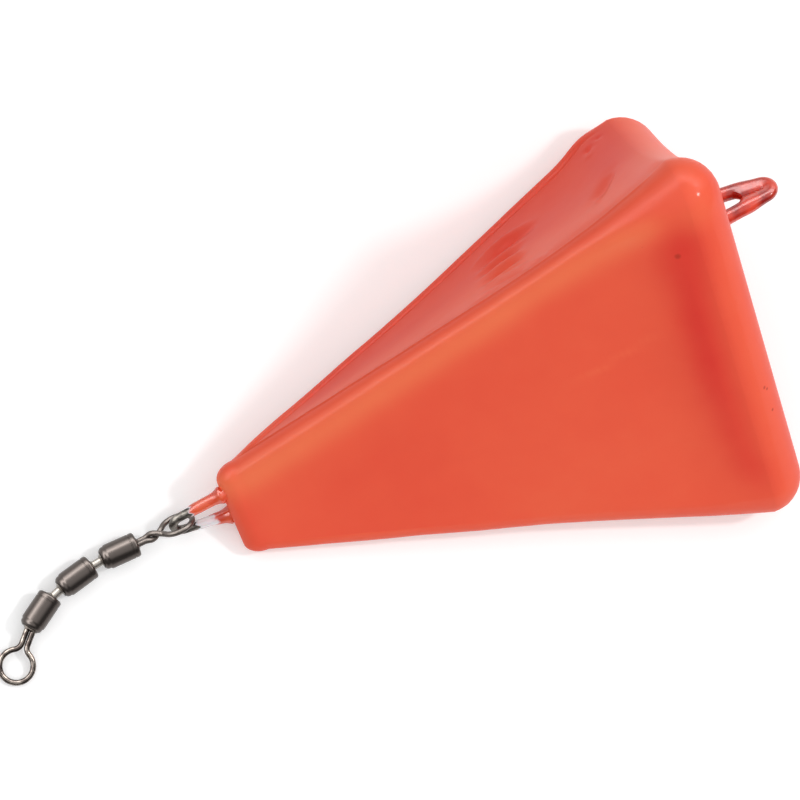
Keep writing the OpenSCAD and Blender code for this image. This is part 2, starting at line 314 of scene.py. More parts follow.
def add(tree: bpy.types.NodeTree, kind: str, sockets: dict[Any, Any] | None = None, stops: Stops = (),
        out: str | int = 0, **settings: Any) -> bpy.types.NodeSocket:
    """Adds a node with its settings, values and links.

    Args:
        tree: the node tree.
        kind: the node's type, without the words ShaderNode.
        sockets: what goes into each input.
        stops: for a ramp, places from 0 to 1, each with its sRGB hex colour.
        out: name or number of the output that is wanted.
        **settings: the node's own properties.

    Returns:
        The wanted output, or nothing where the node has no outputs.
    """
    made = tree.nodes.new("ShaderNode" + kind)
    for key, value in settings.items():
        setattr(made, key, value)
    join(tree, made, sockets or {})
    if stops:
        while len(made.color_ramp.elements) < len(stops):
            made.color_ramp.elements.new(0.5)
        for element, (place, colour) in zip(made.color_ramp.elements, stops):
            element.position = place
            element.color = linear(colour)
    return made.outputs[out] if made.outputs else None


def swells(tree: bpy.types.NodeTree, size: float, detail: float = 2.0,
           shift: float = 0.0) -> bpy.types.NodeSocket:
    """Makes a soft cloudy pattern in the object's own place.

    Args:
        tree: the node tree.
        size: distance between two swells, in millimetres.
        detail: how many finer layers it holds.
        shift: how far it is moved, so that two patterns differ.

    Returns:
        The pattern, about 0.5 on average.
    """
    place = add(tree, "TexCoord", out="Object")
    moved = add(tree, "Mapping", {"Vector": place, "Location": (shift, shift, shift)})
    return add(tree, "TexNoise", {"Vector": moved, "Scale": 1 / (size * MM), "Detail": detail,
                                  "Roughness": 0.5})


def stirred(tree: bpy.types.NodeTree, under: bpy.types.NodeSocket, pattern: bpy.types.NodeSocket,
            share: float) -> bpy.types.NodeSocket:
    """Moves a value up and down by a pattern.

    Args:
        tree: the node tree.
        under: the value.
        pattern: a pattern of about 0.5 on average.
        share: how much of it is added.

    Returns:
        The moved value.
    """
    centred = add(tree, "Math", {0: pattern, 1: 0.5}, operation="SUBTRACT")
    return add(tree, "Math", {0: centred, 1: share, 2: under}, operation="MULTIPLY_ADD")


def relief(tree: bpy.types.NodeTree, pattern: bpy.types.NodeSocket, depth: float) -> bpy.types.NodeSocket:
    """Gives the normal of a pattern that stands depth millimetres high."""
    return add(tree, "Bump", {"Height": pattern, "Strength": 1.0, "Distance": depth * MM})


@dataclass(frozen=True)
class Finish:
    """A finish: its name and how it becomes a material."""

    name: str

    def wear(self, tree: bpy.types.NodeTree) -> dict[str, Any]:
        """Gives what goes into the shader's sockets. Each finish has its own."""
        raise NotImplementedError

    def material(self) -> bpy.types.Material:
        """Builds the material, or gives the one that was built before.

        Returns:
            The material with this finish's name.
        """
        made = bpy.data.materials.get(self.name)
        if made is None:
            made = bpy.data.materials.new(self.name)
            made.use_nodes = True
            tree = made.node_tree
            tree.nodes.clear()
            surface = add(tree, "BsdfPrincipled")
            add(tree, "OutputMaterial", {"Surface": surface})
            join(tree, surface.node, self.wear(tree))
        return made


@dataclass(frozen=True)
class DippedPlastic(Finish):
    """Soft vinyl, made by dipping the hot casting in liquid plastic that sets on it.

    The point attribute says how much plastic lies there, from 0, a fine skin, to 1, a heavy one, and
    its low end also carries painted highlights and its high end painted shade. Specks of dust that
    sank in are places in millimetres, each with its size.
    """

    name: str = "dipped_vinyl"
    # The first colour is that of a fine skin and of painted highlights, the last that of gathered plastic and
    # of painted shade
    thin_and_lit: str = "#FB7A53"
    even: str = "#F25F45"
    thick_and_shaded: str = "#E23B33"
    speck: str = "#B83A2A"
    specks: tuple[tuple[float, float, float, float], ...] = ()
    speck_core: float = 0.4
    speck_share: float = 0.75
    cloud_mm: float = 30.0
    cloud_share: float = 0.2
    mottle_mm: float = 6.0
    mottle_share: float = 0.1
    peel_mm: float = 2.6
    peel_depth: float = 0.02

    def wear(self, tree: bpy.types.NodeTree) -> dict[str, Any]:
        """Gives the colour by thickness, with soft clouds and specks, and a low sheen."""
        # This value carries painted highlights and painted shade as well as the plastic's thickness
        lies = add(tree, "Attribute", out="Fac", attribute_name="coat_and_light")
        lies = stirred(tree, lies, swells(tree, self.cloud_mm, 2.0, 0.4), self.cloud_share)
        lies = stirred(tree, lies, swells(tree, self.mottle_mm, 4.0, 2.2), self.mottle_share)
        # Painted highlights and painted shade come through this ramp along with the plastic's thickness
        stops = ((0.1, self.thin_and_lit), (0.5, self.even), (0.95, self.thick_and_shaded))
        colour = add(tree, "ValToRGB", {"Fac": lies}, stops)
        place = add(tree, "TexCoord", out="Object")
        dust = 0.0
        for *middle, size in self.specks:
            spot = tuple(part * MM for part in middle)
            away = add(tree, "VectorMath", {0: place, 1: spot}, out="Value", operation="DISTANCE")
            near = add(tree, "MapRange", {"Value": away, "From Min": self.speck_core * size * MM,
                                          "From Max": size * MM, "To Min": self.speck_share, "To Max": 0.0})
            dust = add(tree, "Math", {0: dust, 1: near}, operation="MAXIMUM")
        mixed = add(tree, "Mix", {"Factor": dust, 6: colour, 7: linear(self.speck)}, out=2, data_type="RGBA")
        # Dipped vinyl gives the eye a soft, even red with a low sheen and a faint orange peel: it is
        # orange where it drew thin over an edge and deep red where it gathered, and the same colours
        # paint highlights by the ridge, on the rim's crest and on raised runs, and paint shade in the
        # hollow before the rim and on the far half of the open face
        return {
            "Base Color": mixed,
            "Roughness": 0.45,
            "IOR": 1.5,
            "Specular IOR Level": 0.04,
            "Subsurface Weight": 0.06,
            "Subsurface Radius": (1.0, 0.25, 0.12),
            "Subsurface Scale": 1.0 * MM,
            "Coat Weight": 0.2,
            "Coat Roughness": 0.13,
            "Coat IOR": 1.5,
            "Normal": relief(tree, swells(tree, self.peel_mm, 1.0), self.peel_depth),
        }


@dataclass(frozen=True)
class ThinPlastic(Finish):
    """The same vinyl where dipping drew it out to a fine skin over wire, and where use has scuffed it.

    The point attribute worn, from 0 to 1, takes it from whole red through milky pink to the
    chalky white of vinyl that is stretched and scuffed.
    """

    name: str = "thin_vinyl"
    whole: str = "#F2633F"
    deep: str = "#DC3F26"
    pink: str = "#F0BCC4"
    chalk: str = "#F6F0F4"
    clear: float = 0.1
    cloud_mm: float = 4.0
    ragged_mm: float = 1.1
    ragged_share: float = 0.9
    ripple_mm: float = 1.6
    ripple_depth: float = 0.05

    def wear(self, tree: bpy.types.NodeTree) -> dict[str, Any]:
        """Gives the worn colours, a wet gloss and a little light through the skin."""
        stops = ((0.35, self.deep), (0.6, self.whole))
        body = add(tree, "ValToRGB", {"Fac": swells(tree, self.cloud_mm)}, stops)
        worn = add(tree, "Attribute", out="Fac", attribute_name="worn")
        edge = stirred(tree, worn, swells(tree, self.ragged_mm, 4.0, 0.9), self.ragged_share)
        share = add(tree, "ValToRGB", {"Fac": edge}, ((0.34, "#000000"), (0.62, "#FFFFFF")))
        pale = add(tree, "ValToRGB", {"Fac": edge}, ((0.4, self.pink), (0.85, self.chalk)))
        # Thin vinyl gives the eye a wet, rippled gloss and a clearer red than the body's, which
        # breaks into ragged pink and white where it is rubbed
        return {
            "Base Color": add(tree, "Mix", {"Factor": share, 6: body, 7: pale}, out=2, data_type="RGBA"),
            "Roughness": 0.22,
            "IOR": 1.5,
            "Transmission Weight": self.clear,
            "Subsurface Weight": 0.15,
            "Subsurface Radius": (1.0, 0.3, 0.2),
            "Subsurface Scale": 0.8 * MM,
            "Coat Weight": 0.35,
            "Coat Roughness": 0.06,
            "Normal": relief(tree, swells(tree, self.ripple_mm, 3.0), self.ripple_depth),
        }


@dataclass(frozen=True)
class DrawnWire(Finish):
    """Steel wire, drawn through a die and dulled by handling and salt water.

    The pits are drawn 0.3 mm apart, coarser than real ones, so that they show.
    """

    name: str = "drawn_wire"
    light: str = "#8A857E"
    dark: str = "#3E3A37"
    stain: str = "#6A5C38"
    stain_from: float = 0.62
    roughness: float = 0.38
    mottle_mm: float = 1.3
    stain_mm: float = 2.4
    pit_mm: float = 0.3
    pit_depth: float = 0.03

    def wear(self, tree: bpy.types.NodeTree) -> dict[str, Any]:
        """Gives mottled metal with stains and fine pits."""
        mottle = swells(tree, self.mottle_mm, 5.0, 0.2)
        metal = add(tree, "ValToRGB", {"Fac": mottle}, ((0.36, self.dark), (0.62, self.light)))
        edge = ((self.stain_from, "#000000"), (self.stain_from + 0.1, "#FFFFFF"))
        share = add(tree, "ValToRGB", {"Fac": swells(tree, self.stain_mm, 3.0, 3.1)}, edge)
        # Old drawn wire gives the eye a mottled grey with brown stained spots, shiny in places
        # and dull in others, and never a clean mirror
        return {
            "Base Color": add(tree, "Mix", {"Factor": share, 6: metal, 7: linear(self.stain)}, out=2,
                              data_type="RGBA"),
            "Metallic": 1.0,
            "Roughness": add(tree, "MapRange", {"Value": mottle, "To Min": self.roughness - 0.1,
                                                "To Max": self.roughness + 0.16}),
            "Normal": relief(tree, swells(tree, self.pit_mm, 3.0), self.pit_depth),
        }


@dataclass(frozen=True)
class BlackNickel(Finish):
    """Brass, turned and plated with black nickel, and rubbed in use."""

    name: str = "black_nickel"
    dark: str = "#3B3330"
    light: str = "#A2968D"
    roughness: float = 0.17
    rub_mm: float = 1.5
    gloss_mm: float = 0.8
    grain_mm: float = 0.45
    grain_depth: float = 0.02

    def wear(self, tree: bpy.types.NodeTree) -> dict[str, Any]:
        """Gives dark metal with rubbed spots and a satin grain."""
        rub = swells(tree, self.rub_mm, 5.0, 2.3)
        # Black nickel gives the eye a dark, warm shine, with fine lighter spots where the plating
        # is rubbed and a grain that softens what it mirrors
        return {
            "Base Color": add(tree, "ValToRGB", {"Fac": rub}, ((0.43, self.dark), (0.64, self.light))),
            "Metallic": 1.0,
            "Roughness": add(tree, "MapRange", {"Value": swells(tree, self.gloss_mm, 4.0),
                                                "To Min": self.roughness - 0.08,
                                                "To Max": self.roughness + 0.1}),
            "Normal": relief(tree, swells(tree, self.grain_mm, 3.0, 5.0), self.grain_depth),
        }


@dataclass(frozen=True)
class CastLead(Finish):
    """Lead, poured in an open mould and left to go dull in the air."""

    name: str = "cast_lead"
    light: str = "#84888C"
    dark: str = "#5E6266"
    cloud_mm: float = 12.0
    pit_mm: float = 1.2
    pit_depth: float = 0.05

    def wear(self, tree: bpy.types.NodeTree) -> dict[str, Any]:
        """Gives soft grey metal with cloudy oxide and pits."""
        clouds = swells(tree, self.cloud_mm, 5.0)
        # Cast lead gives the eye a dull blue-grey with cloudy oxide, and shallow pits that scatter
        # what little it shines
        return {
            "Base Color": add(tree, "ValToRGB", {"Fac": clouds}, ((0.35, self.dark), (0.65, self.light))),
            "Metallic": 0.8,
            "Roughness": 0.6,
            "Normal": relief(tree, swells(tree, self.pit_mm, 4.0), self.pit_depth),
        }


POOLED = ThinPlastic("pooled_vinyl", whole="#EC4E34", deep="#A01E16", clear=0.12)
EYE_WIRE = DrawnWire("eye_wire", "#7A7269", "#2C2724", "#7E6C34", stain_from=0.56, roughness=0.28)
PIN_STEEL = DrawnWire("pin_steel", "#8A857F", "#504B46", "#4A443C", stain_from=0.8, roughness=0.24)
EYE_NICKEL = BlackNickel("eye_nickel", "#544C48", "#A1978E", roughness=0.18)


def dressed(piece: bpy.types.Object, finish: Finish, body: str,
            node: str = "") -> bpy.types.Object:
    """Gives a piece its finish, slot and body, and lets it stand for a node.

    Args:
        piece: the piece.
        finish: its finish.
        body: the body that it rides on.
        node: the frame's node that it stands for, if any.

    Returns:
        The piece.
    """
    piece.data.materials.append(finish.material())
    if node:
        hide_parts(node)
    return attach(piece, body)


# The cast body

class Side(Enum):
    """The body's three sides, each named by the corner that it starts from."""

    OPEN_FACE = 0
    UPPER_FACE = 1
    LOWER_FACE = 2


@dataclass(frozen=True)
class Crease:
    """A raised or sunk line on a side, from start through middle to end, tapering off.

    Places are millimetres along the body and millimetres across the side from the corner
    that the side starts from.
    """

    side: Side
    start: Pair
    middle: Pair
    end: Pair
    width: float
    height: float

    def lift(self, x: np.ndarray, v: np.ndarray) -> np.ndarray:
        """How far it moves points out of the surface.

        Args:
            x: places along the body.
            v: places across the side.

        Returns:
            The height at each place, in millimetres.
        """
        a, b, c = (np.array(p) for p in (self.start, self.middle, self.end))
        through = 2 * b - (a + c) / 2
        nearest = np.full(x.shape, np.inf)
        taper = np.zeros(x.shape)
        for t in np.linspace(0, 1, 17):
            p = a * (1 - t) ** 2 + through * 2 * t * (1 - t) + c * t ** 2
            away = np.hypot(x - p[0], v - p[1])
            taper = np.where(away < nearest, math.sin(math.pi * (0.08 + 0.84 * t)), taper)
            nearest = np.minimum(nearest, away)
        return self.height * taper * bell(0, self.width, nearest)


@dataclass(frozen=True)
class CoatLieAndLight:
    """How much plastic lies, less over edges and more in hollows, with painted highlights and shade.

    Spans and bells are millimetres along the body, or across a side from its first corner.
    The rest are shares of a scale from 0, a fine skin and lightest, through 0.5, even, to 1, heavy and
    deepest red.
    """

    even: float = 0.5
    crest_bell: Pair = (96.5, 2.4)
    # Painted highlight, in part: the rim's crest is made lighter
    crest_painted_highlight: float = 0.05
    nose_bell: Pair = (-1.0, 2.0)
    nose_gather: float = 0.08
    end_span: Pair = (98.5, 101.5)
    end_gather: float = 0.16
    side_shares: tuple[float, float, float] = (0.3, 1.0, 0.7)
    hollow_x: float = 89.4
    hollow_v: float = 35.0
    hollow_bows: Pair = (0.0016, 0.0028)
    hollow_w: float = 3.9
    hollow_wider: float = 1.6
    wider_span: Pair = (6.0, 20.0)
    # Painted shade, in part: the hollow before the rim is made deeper red, besides plastic gathering there
    hollow_painted_shade: float = 0.38
    first_span: Pair = (-4.0, 5.0)
    last_span: Pair = (-2.0, 10.0)
    low_span: Pair = (25.0, 55.0)
    low_loss: float = 0.32
    # Painted shade: the far half of the open face is made deeper red
    open_painted_shade: float = 0.2
    open_in: Pair = (8.0, 24.0)
    open_out: Pair = (91.0, 98.0)
    open_edge: Pair = (-6.0, 3.0)
    open_shares: Pair = (0.3, 0.62)
    # Painted highlight, in part: a band beside the upper face's ridge is made lighter where it turns up to
    # the light
    ridge_painted_highlight: float = 0.34
    ridge_bell: Pair = (0.6, 3.4)
    ridge_edge: Pair = (-4.5, -1.0)
    ridge_dim: Pair = (84.0, 92.0)
    ridge_dim_share: float = 0.6
    ridge_out: Pair = (94.0, 100.5)
    narrow_gather: float = 0.1
    narrow_bell: Pair = (20.0, 14.0)
    narrow_span: Pair = (6.0, 14.0)
    # Painted highlight, in part: raised runs are made lighter along their tops
    run_painted_highlight: float = 1.6

    def at(self, side: Side, x: float, v: np.ndarray, width: float, raised: np.ndarray) -> np.ndarray:
        """Gives how much plastic lies there, with painted highlights and painted shade in the same value.

        Args:
            side: which side.
            x: place along the body.
            v: places across the side, from its first corner.
            width: width of the side here.
            raised: height of the marks of casting there, in millimetres.

        Returns:
            Thickness with painted light, from 0, lightest, through 0.5, even, to 1, deepest red.
        """
        # Painted highlight, in part: the rim's crest is made lighter
        crest = -self.crest_painted_highlight * bell(*self.crest_bell, x)
        ends = self.nose_gather * bell(*self.nose_bell, x) + self.end_gather * smooth_step(*self.end_span, x)
        value = np.full(v.shape, self.even + crest + ends)
        # Painted shade, in part: the hollow before the rim is made deeper red, besides plastic gathering
        # there
        off = v - self.hollow_v
        middle = self.hollow_x + np.where(off < 0, *self.hollow_bows) * off ** 2
        reach = self.hollow_w + self.hollow_wider * (1 - smooth_step(*self.wider_span, v))
        gate = smooth_step(*self.first_span, v) * smooth_step(*self.last_span, width - v)
        gate *= 1 - self.low_loss * smooth_step(*self.low_span, v)
        value += self.hollow_painted_shade * self.side_shares[side.value] * gate * bell(middle, reach, x)
        if side == Side.OPEN_FACE:
            # Painted shade: the far half of the open face is made deeper red
            along = smooth_step(*self.open_in, x) * (1 - smooth_step(*self.open_out, x))
            across = smooth_step(*self.open_edge, v) * (1 - smooth_step(*self.open_shares, v / width))
            value += self.open_painted_shade * along * across
        if side == Side.UPPER_FACE:
            # Painted highlight, in part: the band beside the ridge is made lighter, fading towards the rim
            fade = 1 - self.ridge_dim_share * smooth_step(*self.ridge_dim, x)
            fade *= 1 - smooth_step(*self.ridge_out, x)
            value -= self.ridge_painted_highlight * fade * smooth_step(*self.ridge_edge, v) * bell(*self.ridge_bell, v)
            value += self.narrow_gather * bell(*self.narrow_bell, x) * smooth_step(*self.narrow_span, v)
            # Painted highlight, in part: raised runs are made lighter along their tops
            value -= self.run_painted_highlight * np.clip(raised, 0, None)
        return value


@dataclass
class CastBody:
    """The cast lead and the skin that is dipped on it. Sizes are millimetres.

    The form stands in its mould's frame: x along it, the open face up and the keel down. It
    is laid on two rounds of the rim and the keel's round at the narrow end.
    """

    body_len: float = 94.0
    wide_w: float = 59.6
    wide_h: float = 67.8
    narrow_w: float = 3.6
    narrow_h: float = 13.7
    face_fall: float = 24.9
    arris_r: float = 1.9
    keel_r: float = 5.6
    nose_r: float = 2.8
    nose_len: float = 4.2
    rim_r: float = 7.8
    flare: float = 4.7
    sink_depth: float = 2.6
    skin_t: float = 0.5
    lead_gap: float = 0.03
    flare_from: float = 0.52
    flare_power: float = 2.2
    lip_from: float = 0.8
    lip_power: float = 3.0
    round_from: float = 0.52
    round_power: float = 4.0
    end_angle: float = 78.0
    far_full: float = 1.15
    far_full_bell: Pair = (0.935, 0.045)
    far_slim: float = 0.8
    far_slim_span: Pair = (0.4, 0.7)
    lip_w: float = 1.5
    lip_h: float = 0.32
    lip_edge: float = 0.35
    lip_span: Pair = (84.0, 93.0)
    gutter_share: float = 0.8
    gutter_off: float = 0.45
    skin_swells: tuple[tuple[float, float, int], ...] = ((0.05, 16.0, 4), (0.015, 5.0, 9))
    swell_in: Pair = (2.0, 10.0)
    swell_out: Pair = (82.0, 93.0)
    creases: list[Crease] = field(default_factory=list)
    dust: tuple[tuple[float, float, float], ...] = ()
    # How much plastic lies on the body, with painted highlights and painted shade carried in the same value
    coat_and_light: CoatLieAndLight = CoatLieAndLight()

    def __post_init__(self) -> None:
        """Works out how the form lies, and where the frame has it."""
        self.wide = np.array([[self.wide_w / 2, 0], [-self.wide_w / 2, 0], [0, -self.wide_h]])
        self.narrow = np.array([[self.narrow_w / 2, -self.face_fall], [-self.narrow_w / 2, -self.face_fall],
                                [0, -self.face_fall - self.narrow_h]])
        self.end_sin = math.sin(math.radians(self.end_angle))
        self.tail_face = self.body_len + self.rim_r * self.end_sin
        self.nose_face = -self.nose_len * self.end_sin
        down = np.array([0, 1.0, 0])
        for _ in range(6):
            a = self.spot(1, 0) + down * self.rim_r
            b = self.spot(1, 2) + down * self.rim_r
            c = self.spot(0, 2) + self.nose_reach(down)
            m = unit(np.cross(a - c, b - c))
            down = -m if m[1] < 0 else m
        up = -down
        run = sum(self.spot(1, k) - self.spot(0, k) for k in range(3))
        along = unit(run - up * (run @ up))
        self.turn = np.array([along, np.cross(up, along), up])
        self.shift = np.array([0, 0, self.rim_r - up @ self.spot(1, 0)])
        own = self.laid(self.rows(-self.skin_t, 0.0, (12, 12, 12), 4)[..., :3].reshape(-1, 3))
        low, high = (np.array(p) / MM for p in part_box("lead_core"))
        middle = (own.min(axis=0) + own.max(axis=0)) / 2
        self.shift[:2] += ((low + high) / 2 - middle)[:2]

    def nose_reach(self, way: np.ndarray) -> np.ndarray:
        """Point of the keel's round at the narrow end, from its middle, that reaches furthest along way."""
        halves = np.array([self.nose_len, self.nose_r, self.nose_r])
        return halves ** 2 * way / np.linalg.norm(halves * way)

    def laid(self, points: np.ndarray) -> np.ndarray:
        """Takes points from the mould's frame to the frame that the part lies in."""
        return points @ self.turn.T + self.shift

    def late(self, s: float, start: float, power: float) -> float:
        """Share, to a power, of the way from start to the end of the length that s has come."""
        return max(0.0, (s - start) / (1 - start)) ** power

    def own_radius(self, k: int, s: float) -> float:
        """Radius of corner k at share s of the length, before the rim rounds it."""
        own = (self.arris_r, self.arris_r, self.keel_r)[k]
        return self.nose_r + (own - self.nose_r) * s

    def radius(self, k: int, s: float) -> float:
        """Radius of corner k at share s of the length."""
        own = self.own_radius(k, s)
        return own + (self.rim_r - own) * self.late(s, self.round_from, self.round_power)

    def hand_made(self, k: int, s: float) -> float:
        """How far this casting's far arris departs from an even one: slimmer first, fuller last."""
        if k:
            return 0.0
        slim = 1 - smooth_step(*self.far_slim_span, s)
        return self.far_full * bell(*self.far_full_bell, s) - self.far_slim * slim

    def corners(self, s: float, even: bool = False) -> np.ndarray:
        """Centres of the three corner rounds, as y and z.

        Args:
            s: share of the length.
            even: whether this casting's own departures are left out.

        Returns:
            The three centres.
        """
        plain = self.narrow + (self.wide - self.narrow) * s
        middle = plain.mean(axis=0)
        found = []
        for k in range(3):
            a = unit(plain[(k + 2) % 3] - plain[k])
            b = unit(plain[(k + 1) % 3] - plain[k])
            grown = self.radius(k, s) - self.own_radius(k, s)
            inward = unit(a + b) * grown / math.sin(math.acos(a @ b) / 2)
            out = self.flare * self.late(s, self.flare_from, self.flare_power)
            out += 0.0 if even else self.hand_made(k, s)
            found.append(plain[k] + inward + unit(plain[k] - middle) * out)
        return np.array(found)

    def spot(self, s: float, k: int) -> np.ndarray:
        """Centre of corner k's round on an even casting at share s, in the mould's frame."""
        return np.array([s * self.body_len, *self.corners(s, True)[k]])

    def normal(self, corner: np.ndarray, radii: list[float], k: int) -> np.ndarray:
        """Outward direction of side k, which touches the rounds at its two corners.

        Args:
            corner: centres of the three corner rounds.
            radii: their radii.
            k: which side.

        Returns:
            The direction, as y and z.
        """
        way = corner[(k + 1) % 3] - corner[k]
        lean = (radii[k] - radii[(k + 1) % 3]) / np.linalg.norm(way)
        way = unit(way)
        return way * lean + np.array([way[1], -way[0]]) * math.sqrt(1 - lean ** 2)

    def ring(self, x: float, s: float, radii: list[float], marks: float, parts: tuple[int, int, int],
             arcs: int) -> np.ndarray:
        """One outline of the form.

        Args:
            x: place along the body.
            s: share of the length that gives the corners.
            radii: the three corners' radii here.
            marks: share of the marks of casting that it gets, from 0 to 1.
            parts: steps across each side.
            arcs: steps round each corner.

        Returns:
            The outline's points, each with the plastic's thickness and painted light as a fourth number.
        """
        corner = self.corners(s)
        normals = [self.normal(corner, radii, k) for k in range(3)]
        u = self.late(s, self.lip_from, 1)
        turned_out = u ** self.lip_power * (1 + self.lip_power * (1 - u))
        hollow = self.flare / 2 * max(0.0, self.late(s, self.flare_from, self.flare_power) - turned_out)
        sink = self.sink_depth * (self.narrow_w / self.wide_w * (1 - s) + s)
        points = []
        thickness_and_light = []
        for k, side in enumerate(Side):
            before, after = normals[(k + 2) % 3], normals[k]
            start = math.atan2(before[1], before[0])
            sweep = (math.atan2(after[1], after[0]) - start) % FULL_TURN
            turns = start + sweep * np.linspace(0, 1, arcs + 1)
            points.append(corner[k] + radii[k] * np.stack([np.cos(turns), np.sin(turns)], axis=1))
            even = np.arange(1, parts[k]) / parts[k]
            t = 0.35 * even + 0.65 * (0.5 - 0.5 * np.cos(np.pi * even))
            a = corner[k] + after * radii[k]
            b = corner[(k + 1) % 3] + after * radii[(k + 1) % 3]
            dip = hollow * (1 - (2 * t - 1) ** 4)
            if side == Side.OPEN_FACE:
                dip = dip + 4 * t * (1 - t) * sink
            width = float(np.linalg.norm(b - a))
            if marks > 0:
                dip = dip - marks * self.marks_on(side, x, t * width, width)
            points.append(a + (b - a) * t[:, None] - after * dip[:, None])
            for v in (radii[k] * sweep * np.linspace(-1, 0, arcs + 1), t * width):
                thickness_and_light.append(self.coat_and_light.at(side, x, v, width, self.marks_on(side, x, v, width)))
        flat = np.concatenate(points)
        return np.column_stack([np.full(len(flat), x), flat, np.concatenate(thickness_and_light)])

    def marks_on(self, side: Side, x: float, v: np.ndarray, width: float) -> np.ndarray:
        """Height of what casting and dipping left on a side.

        Args:
            side: which side.
            x: place along the body.
            v: places across the side, from its first corner.
            width: width of the side here.

        Returns:
            The height at each place, in millimetres.
        """
        total = np.zeros(v.shape)
        for crease in self.creases:
            if crease.side == side:
                total += crease.lift(np.full(v.shape, x), v)
        if side == Side.OPEN_FACE:
            edge = np.minimum(v, width - v)
            lip = 1 - smooth_step(self.lip_w - self.lip_edge, self.lip_w + self.lip_edge, edge)
            gutter = bell(self.lip_w + self.gutter_off, self.lip_edge, edge)
            fade = 1 - smooth_step(*self.lip_span, x)
            total += fade * self.lip_h * (lip - self.gutter_share * gutter)
        return total

    def rows(self, grown: float, marks: float, parts: tuple[int, int, int], arcs: int) -> np.ndarray:
        """All outlines from the middle of the narrow end to the middle of the wide end.

        Args:
            grown: how much larger than the skin's outside the form is.
            marks: share of the marks of casting, from 0 to 1. Without them it has few rings.
            parts: steps across each side.
            arcs: steps round each corner.

        Returns:
            Rings by points by four numbers: the place in the mould's frame, and the plastic's thickness with
                painted light.
        """
        coarse = 1 if marks > 0 else 6
        nose, rim = self.nose_r + grown, self.rim_r + grown
        roll = np.linspace(math.pi / 2, 0, max(3, 9 // coarse), endpoint=False)
        found = []
        for a in roll:
            x = -(self.nose_len + grown) * self.end_sin * math.sin(a)
            found.append(self.ring(x, 0.0, [nose * math.cos(a)] * 3, 0, parts, arcs))
        shares = np.concatenate([np.linspace(0, 0.78, 106 // coarse, endpoint=False),
                                 np.linspace(0.78, 1, 52 // coarse)])
        for s in shares:
            radii = [self.radius(k, s) + grown for k in range(3)]
            near_nose = smooth_step(0.0, 0.06, s)
            found.append(self.ring(s * self.body_len, s, radii, marks * near_nose, parts, arcs))
        for a in roll[::-1]:
            x = self.body_len + rim * self.end_sin * math.sin(a)
            found.append(self.ring(x, 1.0, [rim * math.cos(a)] * 3, 0, parts, arcs))
        caps = np.linspace(1, 0, max(3, 14 // coarse))[1:, None]
        before, after = ([end.mean(axis=0) + (end - end.mean(axis=0)) * c for c in caps]
                         for end in (found[0], found[-1]))
        return np.array([*before[::-1], *found, *after])

    def swelled(self, rows: np.ndarray) -> np.ndarray:
        """Adds the shallow swells of dipped plastic, which run over the whole form.

        Args:
            rows: rings of points in the mould's frame.

        Returns:
            The rings in the part's frame, in metres, moved a little from or to the body's axis.
        """
        flat = rows[..., :3].reshape(-1, 3)
        outward = flat * np.array([0, 1, 1]) + np.array([0, 0, self.face_fall])
        outward /= np.maximum(1e-6, np.linalg.norm(outward, axis=1))[:, None]
        height = sum(high * wave_noise(flat, size, seed) for high, size, seed in self.skin_swells)
        fade = smooth_step(*self.swell_in, flat[:, 0]) * (1 - smooth_step(*self.swell_out, flat[:, 0]))
        moved = flat + outward * (height * fade)[:, None]
        return self.laid(moved).reshape(*rows.shape[:2], 3) * MM

    def on_side(self, side: Side, x: float, v: float) -> np.ndarray:
        """Place on a side in the part's frame.

        Args:
            side: which side.
            x: place along the body.
            v: place across the side, from its first corner.

        Returns:
            The place, in millimetres.
        """
        k = side.value
        s = min(1.0, x / self.body_len)
        corner = self.corners(s)
        lift = math.sqrt(1 - min(1.0, max(0.0, (x - self.body_len) / self.rim_r)) ** 2)
        radii = [self.radius(j, s) * lift for j in range(3)]
        normal = self.normal(corner, radii, k)
        a = corner[k] + normal * radii[k]
        b = corner[(k + 1) % 3] + normal * radii[(k + 1) % 3]
        return self.laid(np.array([x, *(a + unit(b - a) * v)]))

    def build(self) -> list[bpy.types.Object]:
        """Makes the dipped skin as a hollow wall, and the lead just inside it.

        Returns:
            The skin and the lead.
        """
        rows = self.rows(0.0, 1.0, (92, 58, 36), 11)
        # The fourth number of each point is the plastic's thickness, with painted highlights and painted
        # shade in it
        skin = shaped_tube("dipped_skin", kept_in(self.swelled(rows), "plastic_skin"), "coat_and_light", rows[..., 3])
        wall = skin.modifiers.new("wall", "SOLIDIFY")
        wall.thickness = self.skin_t * MM
        wall.offset = -1.0
        bpy.ops.object.modifier_apply(modifier=wall.name)
        specks = tuple((*self.on_side(Side.UPPER_FACE, x, v), size) for x, v, size in self.dust)
        inner = self.rows(-self.skin_t - self.lead_gap, 1.0, (46, 30, 20), 6)
        lead = shaped_tube("lead_body", self.swelled(inner))
        return [dressed(skin, DippedPlastic(specks=specks), "sinker", "plastic_skin"),
                dressed(lead, CastLead(), "sinker", "lead_core")]


